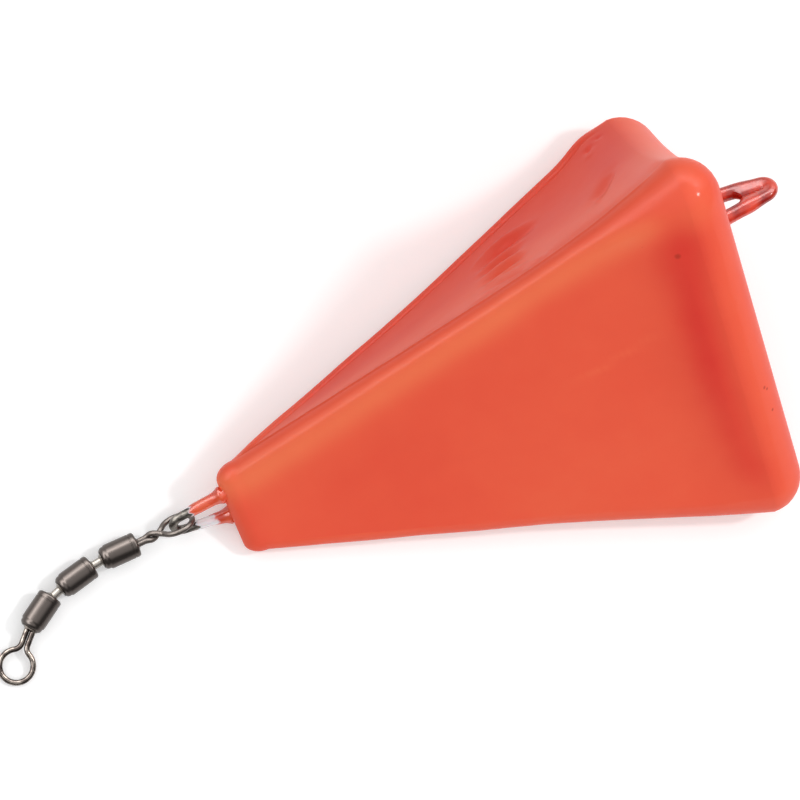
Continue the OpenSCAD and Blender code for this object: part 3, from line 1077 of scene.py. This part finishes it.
# What casting left: folds in the middle of the open face, where the lead froze last, then a
# shallow dent, pits and faint runs nearer the rim
OPEN_FACE_MARKS = (
    ((57.5, 8.2), (64.0, 7.4), (71.5, 11.0), 0.9, 0.5),
    ((59.0, 11.2), (65.0, 10.8), (70.6, 13.6), 1.2, -1.15),
    ((57.6, 13.4), (63.0, 14.4), (68.0, 16.2), 0.8, 0.5),
    ((58.0, 15.6), (62.3, 16.6), (66.2, 18.0), 0.8, -0.8),
    ((57.4, 17.6), (62.0, 18.8), (66.0, 20.4), 0.8, 0.5),
    ((57.4, 20.9), (61.9, 21.6), (66.0, 23.4), 1.0, -1.15),
    ((57.0, 23.6), (61.6, 25.0), (66.0, 27.4), 0.7, 0.4),
    ((56.9, 26.0), (60.8, 29.8), (65.0, 34.0), 0.8, -0.5),
    ((58.6, 24.6), (62.4, 28.0), (66.4, 32.4), 0.6, 0.25),
    ((64.4, 36.2), (65.2, 35.0), (66.2, 34.0), 0.6, -0.4),
    ((66.8, 34.4), (67.5, 35.0), (68.4, 35.8), 0.7, -0.35),
    ((55.6, 27.5), (56.2, 29.0), (57.0, 31.0), 0.8, -0.3),
    ((82.6, 28.0), (85.4, 26.4), (88.0, 23.6), 2.4, -0.95),
    ((84.6, 29.4), (87.2, 27.6), (89.2, 24.4), 0.9, 0.3),
    ((87.2, 5.3), (87.8, 5.9), (88.4, 6.6), 0.8, -0.5),
    ((90.0, 4.0), (90.5, 4.4), (91.0, 4.8), 0.6, -0.3),
    ((86.4, 7.6), (86.9, 8.2), (87.5, 8.8), 0.6, 0.2),
)
# A faint run on the upper face, and a small scar on its corner
UPPER_FACE_MARKS = (
    ((63.2, 22.7), (72.4, 24.1), (82.8, 23.4), 0.75, 0.08),
    ((91.6, -7.0), (92.6, -7.6), (93.6, -7.4), 0.8, -0.14),
)
# Dust caught in the plastic on the upper face: place along the body, place across, and size
DUST = ((89.5, 7.5, 0.75), (98.2, 43.2, 0.45), (98.7, 44.0, 0.4), (98.6, 49.2, 0.42), (84.0, 3.4, 0.3),
        (66.8, 40.0, 0.25))


# Wire loops and what is left of the plastic on them

@dataclass(frozen=True)
class Stand:
    """How a loop stands on the body.

    It stands out of the face at face_x, along +x or -x by its sign, down below the open
    face's edge, turned about x by twist degrees, and its legs are cast in by depth.
    """

    face_x: float
    sign: int
    out: float
    down: float
    twist: float
    depth: float


@dataclass
class WireLoops:
    """The two loops: their wire and the plastic sleeves on them. Sizes are millimetres."""

    body: CastBody
    wire_d: float = 1.75
    sleeve_t: float = 0.34
    bend_r: float = 1.95
    tail_out: float = 14.6
    nose_out: float = 11.8
    splay: float = 8.0
    tail_depth: float = 24.0
    nose_depth: float = 21.0
    tail_down: float = 14.0
    nose_drop: float = 0.5
    tail_twist: float = 60.0
    nose_twist: float = -34.0
    upper_sleeve: float = 7.4
    lower_sleeve: float = 5.0
    film_len: float = 2.6
    upper_worn: float = 5.9
    lower_worn: float = 2.6
    foot_bend_r: float = 2.4
    foot_turn: float = 80.0
    meniscus_h: float = 0.7
    meniscus_w: float = 0.9
    meniscus_power: float = 1.3
    swell_h: float = 0.05
    swell_mm: float = 5.0
    leg_pool: float = 0.34
    leg_pool_span: Pair = (-4.0, 0.5)
    pool_len: float = 4.4
    pool_ease: float = 0.9
    pool_turn: float = 0.6
    pool_overlap: float = 0.15
    tip_fade: float = 0.7
    tip_thin: float = 0.12
    worn_span: Pair = (-0.8, 1.6)
    worn_share: float = 0.45
    ragged_mm: float = 2.2
    ragged: float = 0.5
    tip_ragged: float = 0.55
    step: float = 0.3
    around: int = 36

    def __post_init__(self) -> None:
        """Works out how the loops stand, and their legs' direction in their own plane."""
        down = self.body.face_fall + self.body.narrow_h / 3 + self.nose_drop
        self.tail = Stand(self.body.tail_face, 1, self.tail_out, self.tail_down, self.tail_twist,
                          self.tail_depth)
        self.nose = Stand(self.body.nose_face, -1, self.nose_out, down, self.nose_twist, self.nose_depth)
        turn = math.radians(self.splay)
        self.side = np.array([math.sin(turn), math.cos(turn), 0])
        self.leg_way = np.array([-math.cos(turn), math.sin(turn), 0])
        self.start = self.side * self.bend_r

    def leg_for(self, stand: Stand, depth: float) -> float:
        """Length of a leg that reaches depth below the face."""
        return (stand.out - self.wire_d / 2 - self.bend_r + depth) / math.cos(math.radians(self.splay))

    def whole(self, leg: float, feet: bool) -> np.ndarray:
        """A loop's route in its own plane, from the end of one leg round the tip to the other.

        Args:
            leg: length of its legs.
            feet: whether the legs end in turned-in feet.

        Returns:
            The route's points.
        """
        turned = 90 - self.splay
        end = self.start + self.leg_way * leg
        route = [arc_points(np.zeros(2), self.bend_r, 0, turned, self.step),
                 line_points(self.start, end, self.step), end[None]]
        if feet:
            middle = end - self.side * self.foot_bend_r
            route.append(arc_points(middle[:2], self.foot_bend_r, turned, self.foot_turn, self.step)[1:])
        half = np.concatenate(route)
        return np.concatenate([(half[1:] * np.array([1, -1, 1]))[::-1], half])

    def placed(self, stand: Stand, points: np.ndarray) -> np.ndarray:
        """Takes points from a loop's own plane to the part's frame.

        Args:
            stand: how the loop stands.
            points: rows of three numbers, or rings of such rows.

        Returns:
            The points, in metres.
        """
        turn = math.radians(stand.twist)
        across = np.array([0, -math.sin(turn), -math.cos(turn)])
        axes = np.array([[stand.sign, 0, 0], across, [0, -stand.sign * across[2], stand.sign * across[1]]])
        bend = stand.face_x + stand.sign * (stand.out - self.wire_d / 2 - self.bend_r)
        middle = np.array([bend, 0, -stand.down])
        return self.body.laid(points @ axes + middle) * MM

    def wire(self, name: str, node: str, stand: Stand) -> bpy.types.Object:
        """Makes a loop's wire, cast-in feet and all.

        Args:
            name: the piece's name.
            node: the frame's node that it stands for.
            stand: how the loop stands.

        Returns:
            The wire.
        """
        route = self.placed(stand, self.whole(self.leg_for(stand, stand.depth), True))
        radii = np.full((len(route), self.around), self.wire_d / 2 * MM)
        return dressed(shaped_tube(name, ring_rows(route, radii, self.around)), DrawnWire(),
                       "sinker", node)

    def sleeve(self, name: str, stand: Stand, route: np.ndarray, depth: float, seed: int, finish: Finish,
               worn_from: float | None = None) -> bpy.types.Object:
        """Makes plastic on a stretch of wire, drawn up at its root as a small meniscus.

        Args:
            name: the piece's name.
            stand: how the loop stands.
            route: its route, from inside the body outward, in the loop's own plane.
            depth: length of the route that lies inside the body.
            seed: pattern of its swells.
            finish: its finish.
            worn_from: length past which it is scuffed and thins out. Without it the sleeve is
                whole, and its far end goes into the body too.

        Returns:
            The sleeve.
        """
        run = np.concatenate([[0.0], np.cumsum(np.linalg.norm(np.diff(route, axis=0), axis=1))])
        root = np.abs(run - depth)
        if worn_from is None:
            root = np.minimum(root, np.abs(run[-1] - depth - run))
        swell = np.clip(wave_noise(route, self.swell_mm, seed), -1, 1)
        radii = self.wire_d / 2 + self.sleeve_t + self.swell_h * (swell - 1)
        radii += self.meniscus_h * np.exp(-(root / self.meniscus_w) ** self.meniscus_power)
        worn = np.zeros((len(route), self.around))
        if worn_from is None:
            radii += self.leg_pool * (1 - smooth_step(*self.leg_pool_span, route[:, 0]))
            rings = self.pooled(route, worn + radii[:, None])
        else:
            turns = np.arange(self.around) * FULL_TURN / self.around
            round_it = np.column_stack([np.cos(turns) * 2, np.sin(turns) * 2, np.full(self.around, seed)])
            ragged = wave_noise(round_it, self.ragged_mm, seed)
            worn = smooth_step(worn_from + self.worn_span[0], worn_from + self.worn_span[1],
                               run[:, None] - depth + self.ragged * ragged)
            past = run[:, None] - (run[-1] - self.tip_fade) + self.tip_ragged * ragged
            tip = smooth_step(-0.5, 0.5, past)
            rings = radii[:, None] - self.worn_share * self.sleeve_t * worn
            rings -= ((1 - self.worn_share) * self.sleeve_t + self.tip_thin) * tip
        worn = np.concatenate([worn[:1], worn, worn[-1:]])
        rows = self.placed(stand, ring_rows(route, rings, self.around))
        piece = shaped_tube(name, kept_in(rows, "plastic_skin"), "worn", worn)
        return dressed(piece, finish, "sinker")

    def pooled(self, route: np.ndarray, rings: np.ndarray) -> np.ndarray:
        """Fills the inside of a loop's bend with plastic that gathered there.

        Args:
            route: the loop's route in its own plane, from its -y leg round the tip.
            rings: radius at each point and place around it.

        Returns:
            The radii, drawn out towards the loop's inside near its tip.
        """
        plain = ring_rows(route, np.ones(rings.shape), self.around)[1:-1] - route[:, None, :]
        ways = ways_along(route)
        inside = np.stack([-ways[:, 1], ways[:, 0], np.zeros(len(route))], axis=1)
        off = np.arccos(np.clip(np.einsum("ijk,ik->ij", plain, inside), -1, 1))
        reach = np.where(route[:, 0] < 0, np.abs(route[:, 1]), self.bend_r) + self.pool_overlap
        gate = smooth_step(-self.pool_len - self.pool_ease, -self.pool_len + self.pool_ease, route[:, 0])
        return rings + np.clip(reach[:, None] - rings, 0, None) * gate[:, None] * bell(0, self.pool_turn, off)

    def build(self) -> list[bpy.types.Object]:
        """Makes the wires, the tail loop's whole sleeve and what is left of the nose loop's.

        Returns:
            Two wires and three sleeves.
        """
        made = [self.wire("tail_loop_wire", "tail_wire", self.tail),
                self.wire("nose_loop_wire", "nose_wire", self.nose)]
        inside = self.body.rim_r / 2
        route = self.whole(self.leg_for(self.tail, inside), False)
        made.append(self.sleeve("tail_sleeve", self.tail, route, inside, 11, POOLED))
        inside = self.body.nose_r
        root = self.leg_for(self.nose, 0)
        for name, sign, length, worn_from in (
                ("nose_sleeve_upper", -1, self.upper_sleeve, self.upper_worn),
                ("nose_sleeve_lower", 1, self.lower_sleeve + self.film_len, self.lower_worn)):
            end = self.start + self.leg_way * (root + inside)
            tip = self.start + self.leg_way * (root - length)
            route = np.concatenate([end[None], line_points(end, tip, self.step), tip[None]])
            route = route * np.array([1, sign, 1])
            made.append(self.sleeve(name, self.nose, route, inside, 23 + sign, ThinPlastic(), worn_from))
        return made


# The chain of swivels

@dataclass
class SwivelChain:
    """Eyes, barrels and pins, placed by the frame's joints. Sizes are millimetres."""

    joints: dict[str, dict[str, Any]]
    nodes: dict[str, bpy.types.Object]
    barrel_d: float = 4.9
    barrel_len: float = 7.35
    barrel_wall: float = 0.45
    barrel_round: float = 0.5
    mouth_d: float = 3.2
    mouth_lip: float = 0.12
    crimp_len: float = 1.5
    crimp_in: float = 0.22
    crimp_r: float = 0.9
    groove_x: float = 1.0
    groove_w: float = 0.26
    groove_edge: float = 0.06
    groove_in: float = 0.07
    dent_in: float = 0.035
    dent_mm: float = 2.6
    head_d: float = 3.5
    head_play: float = 0.05
    upset_share: float = 0.96
    eye_d: float = 7.45
    eye_wire_d: float = 1.12
    near_eye_len: float = 8.4
    end_eye_len: float = 7.4
    neck_r: float = 1.8
    strand_share: float = 1.04
    twist_span: Pair = (-1.4, 2.6)
    ground_gap: float = 0.02
    step: float = 0.16
    around: int = 24

    def __post_init__(self) -> None:
        """Works out where a head sits behind its barrel's mouth."""
        depth = math.sqrt((self.head_d / 2) ** 2 - (self.mouth_d / 2) ** 2)
        self.seat = self.barrel_wall + depth + self.head_play

    def place(self, joint: str) -> np.ndarray:
        """A joint's place in millimetres."""
        return np.array(self.joints[joint]["pos_m"]) / MM

    def axis(self, joint: str) -> np.ndarray:
        """A joint's axis, at length one."""
        return unit(np.array(self.joints[joint]["axis"], float))

    def eye_route(self, reach: float, twist: float) -> np.ndarray:
        """Route of an eye's wire in its own plane: head, strand, ring, strand, head.

        Args:
            reach: distance from the ring's middle to the head, along +x.
            twist: turns by which the two strands wind round each other.

        Returns:
            The route's points.
        """
        wire_r = self.eye_wire_d / 2
        ring_r = self.eye_d / 2 - wire_r
        apart = wire_r * self.strand_share
        neck_y = apart + self.neck_r
        neck_x = math.sqrt((ring_r + self.neck_r) ** 2 - neck_y ** 2)
        opening = math.degrees(math.atan2(neck_y, neck_x))
        ring = arc_points(np.zeros(2), ring_r, 0, 180, self.step)
        keep = np.degrees(np.arctan2(ring[:, 1], ring[:, 0])) >= opening
        neck = arc_points(np.array([neck_x, neck_y]), self.neck_r, 270, opening - 90, self.step)
        tip = np.array([reach, apart, 0.0])
        strand = line_points(tip, np.array([neck_x, apart, 0.0]), self.step)
        half = np.concatenate([tip[None], strand, neck, ring[keep]])
        low, high = self.twist_span
        turn = smooth_step(neck_x + low, neck_x + high, half[:, 0]) * twist * FULL_TURN
        half = np.stack([half[:, 0], half[:, 1] * np.cos(turn), half[:, 1] * np.sin(turn)], axis=1)
        other = half * np.array([1, -1, -1])
        return np.concatenate([half, other[::-1][1:]])

    def eye(self, name: str, node: str, head: np.ndarray, way: np.ndarray, face: np.ndarray, reach: float,
            twist: float, finish: Finish) -> bpy.types.Object:
        """Makes an eye: bent wire with a head forged on its two strands.

        Args:
            name: the piece's name.
            node: the frame's node that it stands for, and the body that it rides on.
            head: the head's middle.
            way: direction from the ring to the head.
            face: direction that the ring faces.
            reach: distance from the ring's middle to the head.
            twist: turns by which the strands wind round each other.
            finish: its finish.

        Returns:
            The eye.
        """
        route = self.eye_route(reach, twist) @ np.array([way, np.cross(face, way), face]) + head - way * reach
        radii = np.full((len(route), self.around), self.eye_wire_d / 2)
        wire = shaped_tube(name, ring_rows(route, radii, self.around) * MM)
        ball = self.ball(name + "_head", head * MM)
        take(wire)
        ball.select_set(True)
        bpy.ops.object.join()
        low, high = (np.array(p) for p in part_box(node))
        own = points_of(wire)
        off = max(np.abs(own.min(axis=0) - low).max(), np.abs(own.max(axis=0) - high).max())
        LOG.info("%s is %.2f mm off its node's box", name, off / MM)
        return dressed(wire, finish, node, node)

    def ball(self, name: str, middle: np.ndarray) -> bpy.types.Object:
        """Makes a head: a ball with a small flat where it was upset, on its two poles.

        Args:
            name: the object's name.
            middle: its middle in metres.

        Returns:
            The head.
        """
        radius = self.head_d / 2 * MM
        take(None)
        bpy.ops.mesh.primitive_uv_sphere_add(segments=32, ring_count=20, radius=radius,
                                             location=tuple(middle))
        head = bpy.context.object
        head.name = name
        bpy.ops.object.transform_apply(location=True, rotation=False, scale=False)
        top = radius * self.upset_share
        for vertex in head.data.vertices:
            vertex.co.z = min(middle[2] + top, max(middle[2] - top, vertex.co.z))
        weld(head)
        return head

    def barrel_outline(self) -> np.ndarray:
        """Closed outline of a barrel's wall, as places along it and radii.

        Returns:
            The outline's points, as x and radius.
        """
        r = self.barrel_d / 2
        mouth = self.mouth_d / 2
        bore = r - self.barrel_wall
        crimped = r - self.crimp_in
        length = self.barrel_len
        lip = self.mouth_lip
        inner = length - self.barrel_wall
        shoulder = length - self.crimp_len
        groove_end = self.groove_x + self.groove_w
        points = [(self.barrel_wall, mouth), (lip, mouth), (0.0, mouth + lip)]
        points += [(self.barrel_round * (1 - math.sin(t)), r - self.barrel_round * (1 - math.cos(t)))
                   for t in np.linspace(math.pi / 2, 0, 11)]
        points += [(self.groove_x, r), (self.groove_x + self.groove_edge, r - self.groove_in),
                   (groove_end - self.groove_edge, r - self.groove_in), (groove_end, r)]
        points += [(shoulder, r), (shoulder + 0.2, r - 0.05), (length - self.crimp_r - 0.15, crimped)]
        points += [(length - self.crimp_r * (1 - math.sin(t)), crimped - self.crimp_r * (1 - math.cos(t)))
                   for t in np.linspace(0, math.pi / 2, 12)]
        points += [(length, mouth + lip), (length - lip, mouth), (inner + lip, mouth), (inner, mouth + lip)]
        points += [(inner - self.crimp_in, bore), (self.barrel_wall, bore)]
        return np.array(points)

    def barrel(self, name: str, node: str, joint: str, dents: int) -> bpy.types.Object:
        """Spins a barrel's wall round its axis.

        Args:
            name: the piece's name.
            node: the frame's node that it stands for, and the body that it rides on.
            joint: the joint that it turns on.
            dents: pattern of the small dents that use has left.

        Returns:
            The barrel.
        """
        way = self.axis(joint)
        side = unit(np.cross(way, [0, 0, 1]))
        outline = self.barrel_outline()
        take(None)
        bpy.ops.mesh.primitive_circle_add(vertices=len(outline), radius=1.0)
        piece = bpy.context.object
        piece.name = name
        piece.data.name = name
        base = self.place(joint) - way * self.seat
        flat = base + outline[:, :1] * way + outline[:, 1:] * side
        piece.data.vertices.foreach_set("co", (flat * MM).ravel())
        bpy.ops.object.mode_set(mode="EDIT")
        bpy.ops.mesh.select_all(action="SELECT")
        bpy.ops.mesh.spin(steps=64, angle=FULL_TURN, center=tuple(base * MM), axis=tuple(way))
        bpy.ops.object.mode_set(mode="OBJECT")
        self.dent(piece, base, way, dents)
        weld(piece)
        bpy.ops.object.shade_smooth_by_angle(angle=math.radians(40))
        return dressed(piece, BlackNickel(), node, node)

    def dent(self, piece: bpy.types.Object, base: np.ndarray, way: np.ndarray, seed: int) -> None:
        """Pushes shallow dents into a barrel's outside.

        Args:
            piece: the barrel.
            base: the middle of its first end.
            way: its axis.
            seed: pattern of the dents.
        """
        places = points_of(piece) / MM
        off = places - base
        out = off - (off @ way)[:, None] * way
        reach = np.linalg.norm(out, axis=1)
        depth = self.dent_in * np.clip(wave_noise(places, self.dent_mm, seed) - 0.2, 0, 1)
        depth *= reach > self.barrel_d / 2 - self.barrel_wall * 0.8
        moved = places - out / reach[:, None] * depth[:, None]
        piece.data.vertices.foreach_set("co", (moved * MM).ravel())

    def near_way(self, face: np.ndarray, reach: float) -> np.ndarray:
        """Direction of the first eye's shank: its leaning ring stands on the ground.

        Args:
            face: direction that its ring faces.
            reach: distance from the ring's middle to the head.

        Returns:
            The direction from the ring to the head.
        """
        wire_r = self.eye_wire_d / 2
        height = (self.eye_d / 2 - wire_r) * abs(face[1]) + wire_r + self.ground_gap
        rise = self.place("barrel_1_spin")[2] - height
        return np.array([-math.sqrt(reach ** 2 - rise ** 2), 0.0, rise]) / reach

    def build(self) -> list[bpy.types.Object]:
        """Makes the whole chain.

        Returns:
            Its pieces.
        """
        face = self.axis("eye_swing")
        reach = self.near_eye_len + self.seat
        way = self.near_way(face, reach)
        made = [self.eye("near_eye_wire", "near_eye", self.place("barrel_1_spin"), way, face, reach, 0.5,
                         EYE_WIRE)]
        lean = math.degrees(math.acos(self.axis("barrel_1_spin") @ way))
        LOG.info("first barrel leans %.1f degrees from the first eye", lean)
        for i in range(1, 4):
            made.append(self.barrel(f"barrel_shell_{i}", f"barrel_{i}", f"barrel_{i}_spin", 30 + i))
        way = self.axis("end_eye_spin")
        face = np.cross(way, unit(np.cross([0, 0, 1], way)))
        made.append(self.eye("end_eye_ring", "end_eye", self.place("end_eye_spin"), -way, face,
                             self.end_eye_len + self.seat, 0.0, EYE_NICKEL))
        for name in ("link_pin_1", "link_pin_2"):
            self.nodes[name].data.materials.clear()
            self.nodes[name].data.materials.append(PIN_STEEL.material())
            made.append(self.nodes[name])
        return made


# Studio

@dataclass(frozen=True)
class Studio:
    """Floor, soft light and the camera. Ramps of light run from the horizon, 0, to overhead, 1."""

    camera_mm: tuple[float, float, float] = (-112.46, -36.42, 572.46)
    right: tuple[float, float, float] = (0.8863, -0.4381, 0.1501)
    down: tuple[float, float, float] = (-0.4157, -0.8955, -0.1591)
    ahead: tuple[float, float, float] = (0.2041, 0.0786, -0.9758)
    lens: float = 135.0
    sensor: float = 36.0
    clip_m: Pair = (0.01, 20.0)
    floor_m: float = 6.0
    floor_drop: float = 0.02
    floor_colour: str = "#F4F4F4"
    floor_glow: float = 0.25
    bounce_colour: str = "#EEEEEE"
    key_way: tuple[float, float, float] = (0.61, -0.17, 0.77)
    key_away_m: float = 0.9
    key_size_m: float = 0.09
    key_watts: float = 1.9
    sky: Stops = ((0.0, "#8F8F8F"), (0.35, "#ABABAB"), (0.55, "#E0E0E0"), (0.7, "#FFFFFF"), (0.86, "#EEEEEE"),
                  (0.95, "#B4B4B4"), (1.0, "#A8A8A8"))
    sky_strength: float = 1.2
    front_strip: Stops = ((0.3, "#141414"), (0.66, "#141414"), (0.86, "#585858"), (0.97, "#6A6A6A"))
    back_strip: Stops = ((0.1, "#484848"), (0.3, "#7E7E7E"), (0.56, "#C4C4C4"), (0.66, "#FFFFFF"),
                         (0.76, "#F4F4F4"), (0.88, "#808080"), (0.98, "#6A6A6A"))
    strip_strength: float = 8.5
    strip_span: Pair = (-0.15, 0.15)

    def camera(self) -> None:
        """Sets the camera at the photograph's angle."""
        data = bpy.data.cameras.new("camera")
        data.lens = self.lens
        data.sensor_width = self.sensor
        data.clip_start, data.clip_end = self.clip_m
        made = bpy.data.objects.new("camera", data)
        bpy.context.scene.collection.objects.link(made)
        turned = Matrix((Vector(self.right), -Vector(self.down), -Vector(self.ahead))).transposed()
        made.matrix_world = Matrix.Translation(Vector(self.camera_mm) * MM) @ turned.to_4x4()
        bpy.context.scene.camera = made

    def floor(self) -> None:
        """Lays a pale floor that the camera and the gloss see as white, with its shadow kept."""
        take(None)
        bpy.ops.mesh.primitive_plane_add(size=self.floor_m, location=(0, 0, -self.floor_drop * MM))
        plane = bpy.context.object
        plane.name = "floor"
        # Painted paper, matt and smooth: it gives the eye a plain white ground
        made = bpy.data.materials.new("studio_floor")
        made.use_nodes = True
        tree = made.node_tree
        tree.nodes.clear()
        seen = add(tree, "LightPath", out="Is Camera Ray")
        rays = seen.node.outputs
        for ray in ("Is Glossy Ray", "Is Transmission Ray"):
            seen = add(tree, "Math", {0: seen, 1: rays[ray]}, operation="MAXIMUM")
        paint = add(tree, "BsdfDiffuse", {"Color": linear(self.floor_colour)})
        glow = add(tree, "Emission", {"Color": (1, 1, 1, 1), "Strength": self.floor_glow})
        lit = add(tree, "AddShader", {0: paint, 1: glow})
        bounce = add(tree, "BsdfDiffuse", {"Color": linear(self.bounce_colour)})
        mixed = add(tree, "MixShader", {0: seen, 1: bounce, 2: lit})
        add(tree, "OutputMaterial", {"Surface": mixed})
        plane.data.materials.append(made)

    def key(self) -> None:
        """Hangs one soft round lamp that looks at the part."""
        data = bpy.data.lights.new("key", "AREA")
        data.shape = "DISK"
        data.size = self.key_size_m
        data.energy = self.key_watts
        made = bpy.data.objects.new("key", data)
        bpy.context.scene.collection.objects.link(made)
        made.location = Vector(self.key_way).normalized() * self.key_away_m
        made.rotation_euler = made.location.to_track_quat("Z", "Y").to_euler()

    def world(self) -> None:
        """Gives a soft sky, bright strips in front and behind for the gloss, and white for the camera."""
        made = bpy.data.worlds.new("surround")
        bpy.context.scene.world = made
        made.use_nodes = True
        tree = made.node_tree
        tree.nodes.clear()
        place = add(tree, "TexCoord", out="Generated")
        rise = add(tree, "SeparateXYZ", {"Vector": place}, out="Z")
        glow, front, back = (add(tree, "ValToRGB", {"Fac": rise}, stops)
                             for stops in (self.sky, self.front_strip, self.back_strip))
        side = add(tree, "MapRange", {"Value": rise.node.outputs["Y"], "From Min": self.strip_span[0],
                                      "From Max": self.strip_span[1]})
        strips = add(tree, "Mix", {"Factor": side, 6: front, 7: back}, out=2, data_type="RGBA")
        light = add(tree, "Background", {"Color": glow, "Strength": self.sky_strength})
        for ray, colour, strength in (("Is Glossy Ray", strips, self.strip_strength),
                                      ("Is Camera Ray", (1, 1, 1, 1), 1.0)):
            seen = add(tree, "Background", {"Color": colour, "Strength": strength})
            light = add(tree, "MixShader", {0: add(tree, "LightPath", out=ray), 1: light, 2: seen})
        add(tree, "OutputWorld", {"Surface": light})

    def build(self) -> None:
        """Sets up the whole studio."""
        self.camera()
        self.floor()
        self.world()
        self.key()
        bpy.context.scene.view_settings.view_transform = "Standard"


def main() -> None:
    """Builds the part's looks and the studio."""
    logging.basicConfig(level=logging.INFO, format="%(name)s: %(message)s")
    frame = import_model()
    Studio().build()
    marks = [Crease(Side.OPEN_FACE, *mark) for mark in OPEN_FACE_MARKS]
    marks += [Crease(Side.UPPER_FACE, *mark) for mark in UPPER_FACE_MARKS]
    body = CastBody(creases=marks, dust=DUST)
    joints = {joint["name"]: joint for joint in frame["joints"]}
    pieces = body.build() + WireLoops(body).build() + SwivelChain(joints, frame["nodes"]).build()
    for piece in pieces:
        LOG.info("%s: %d faces", piece.name, len(piece.data.polygons))


if __name__ == "__main__":
    main()
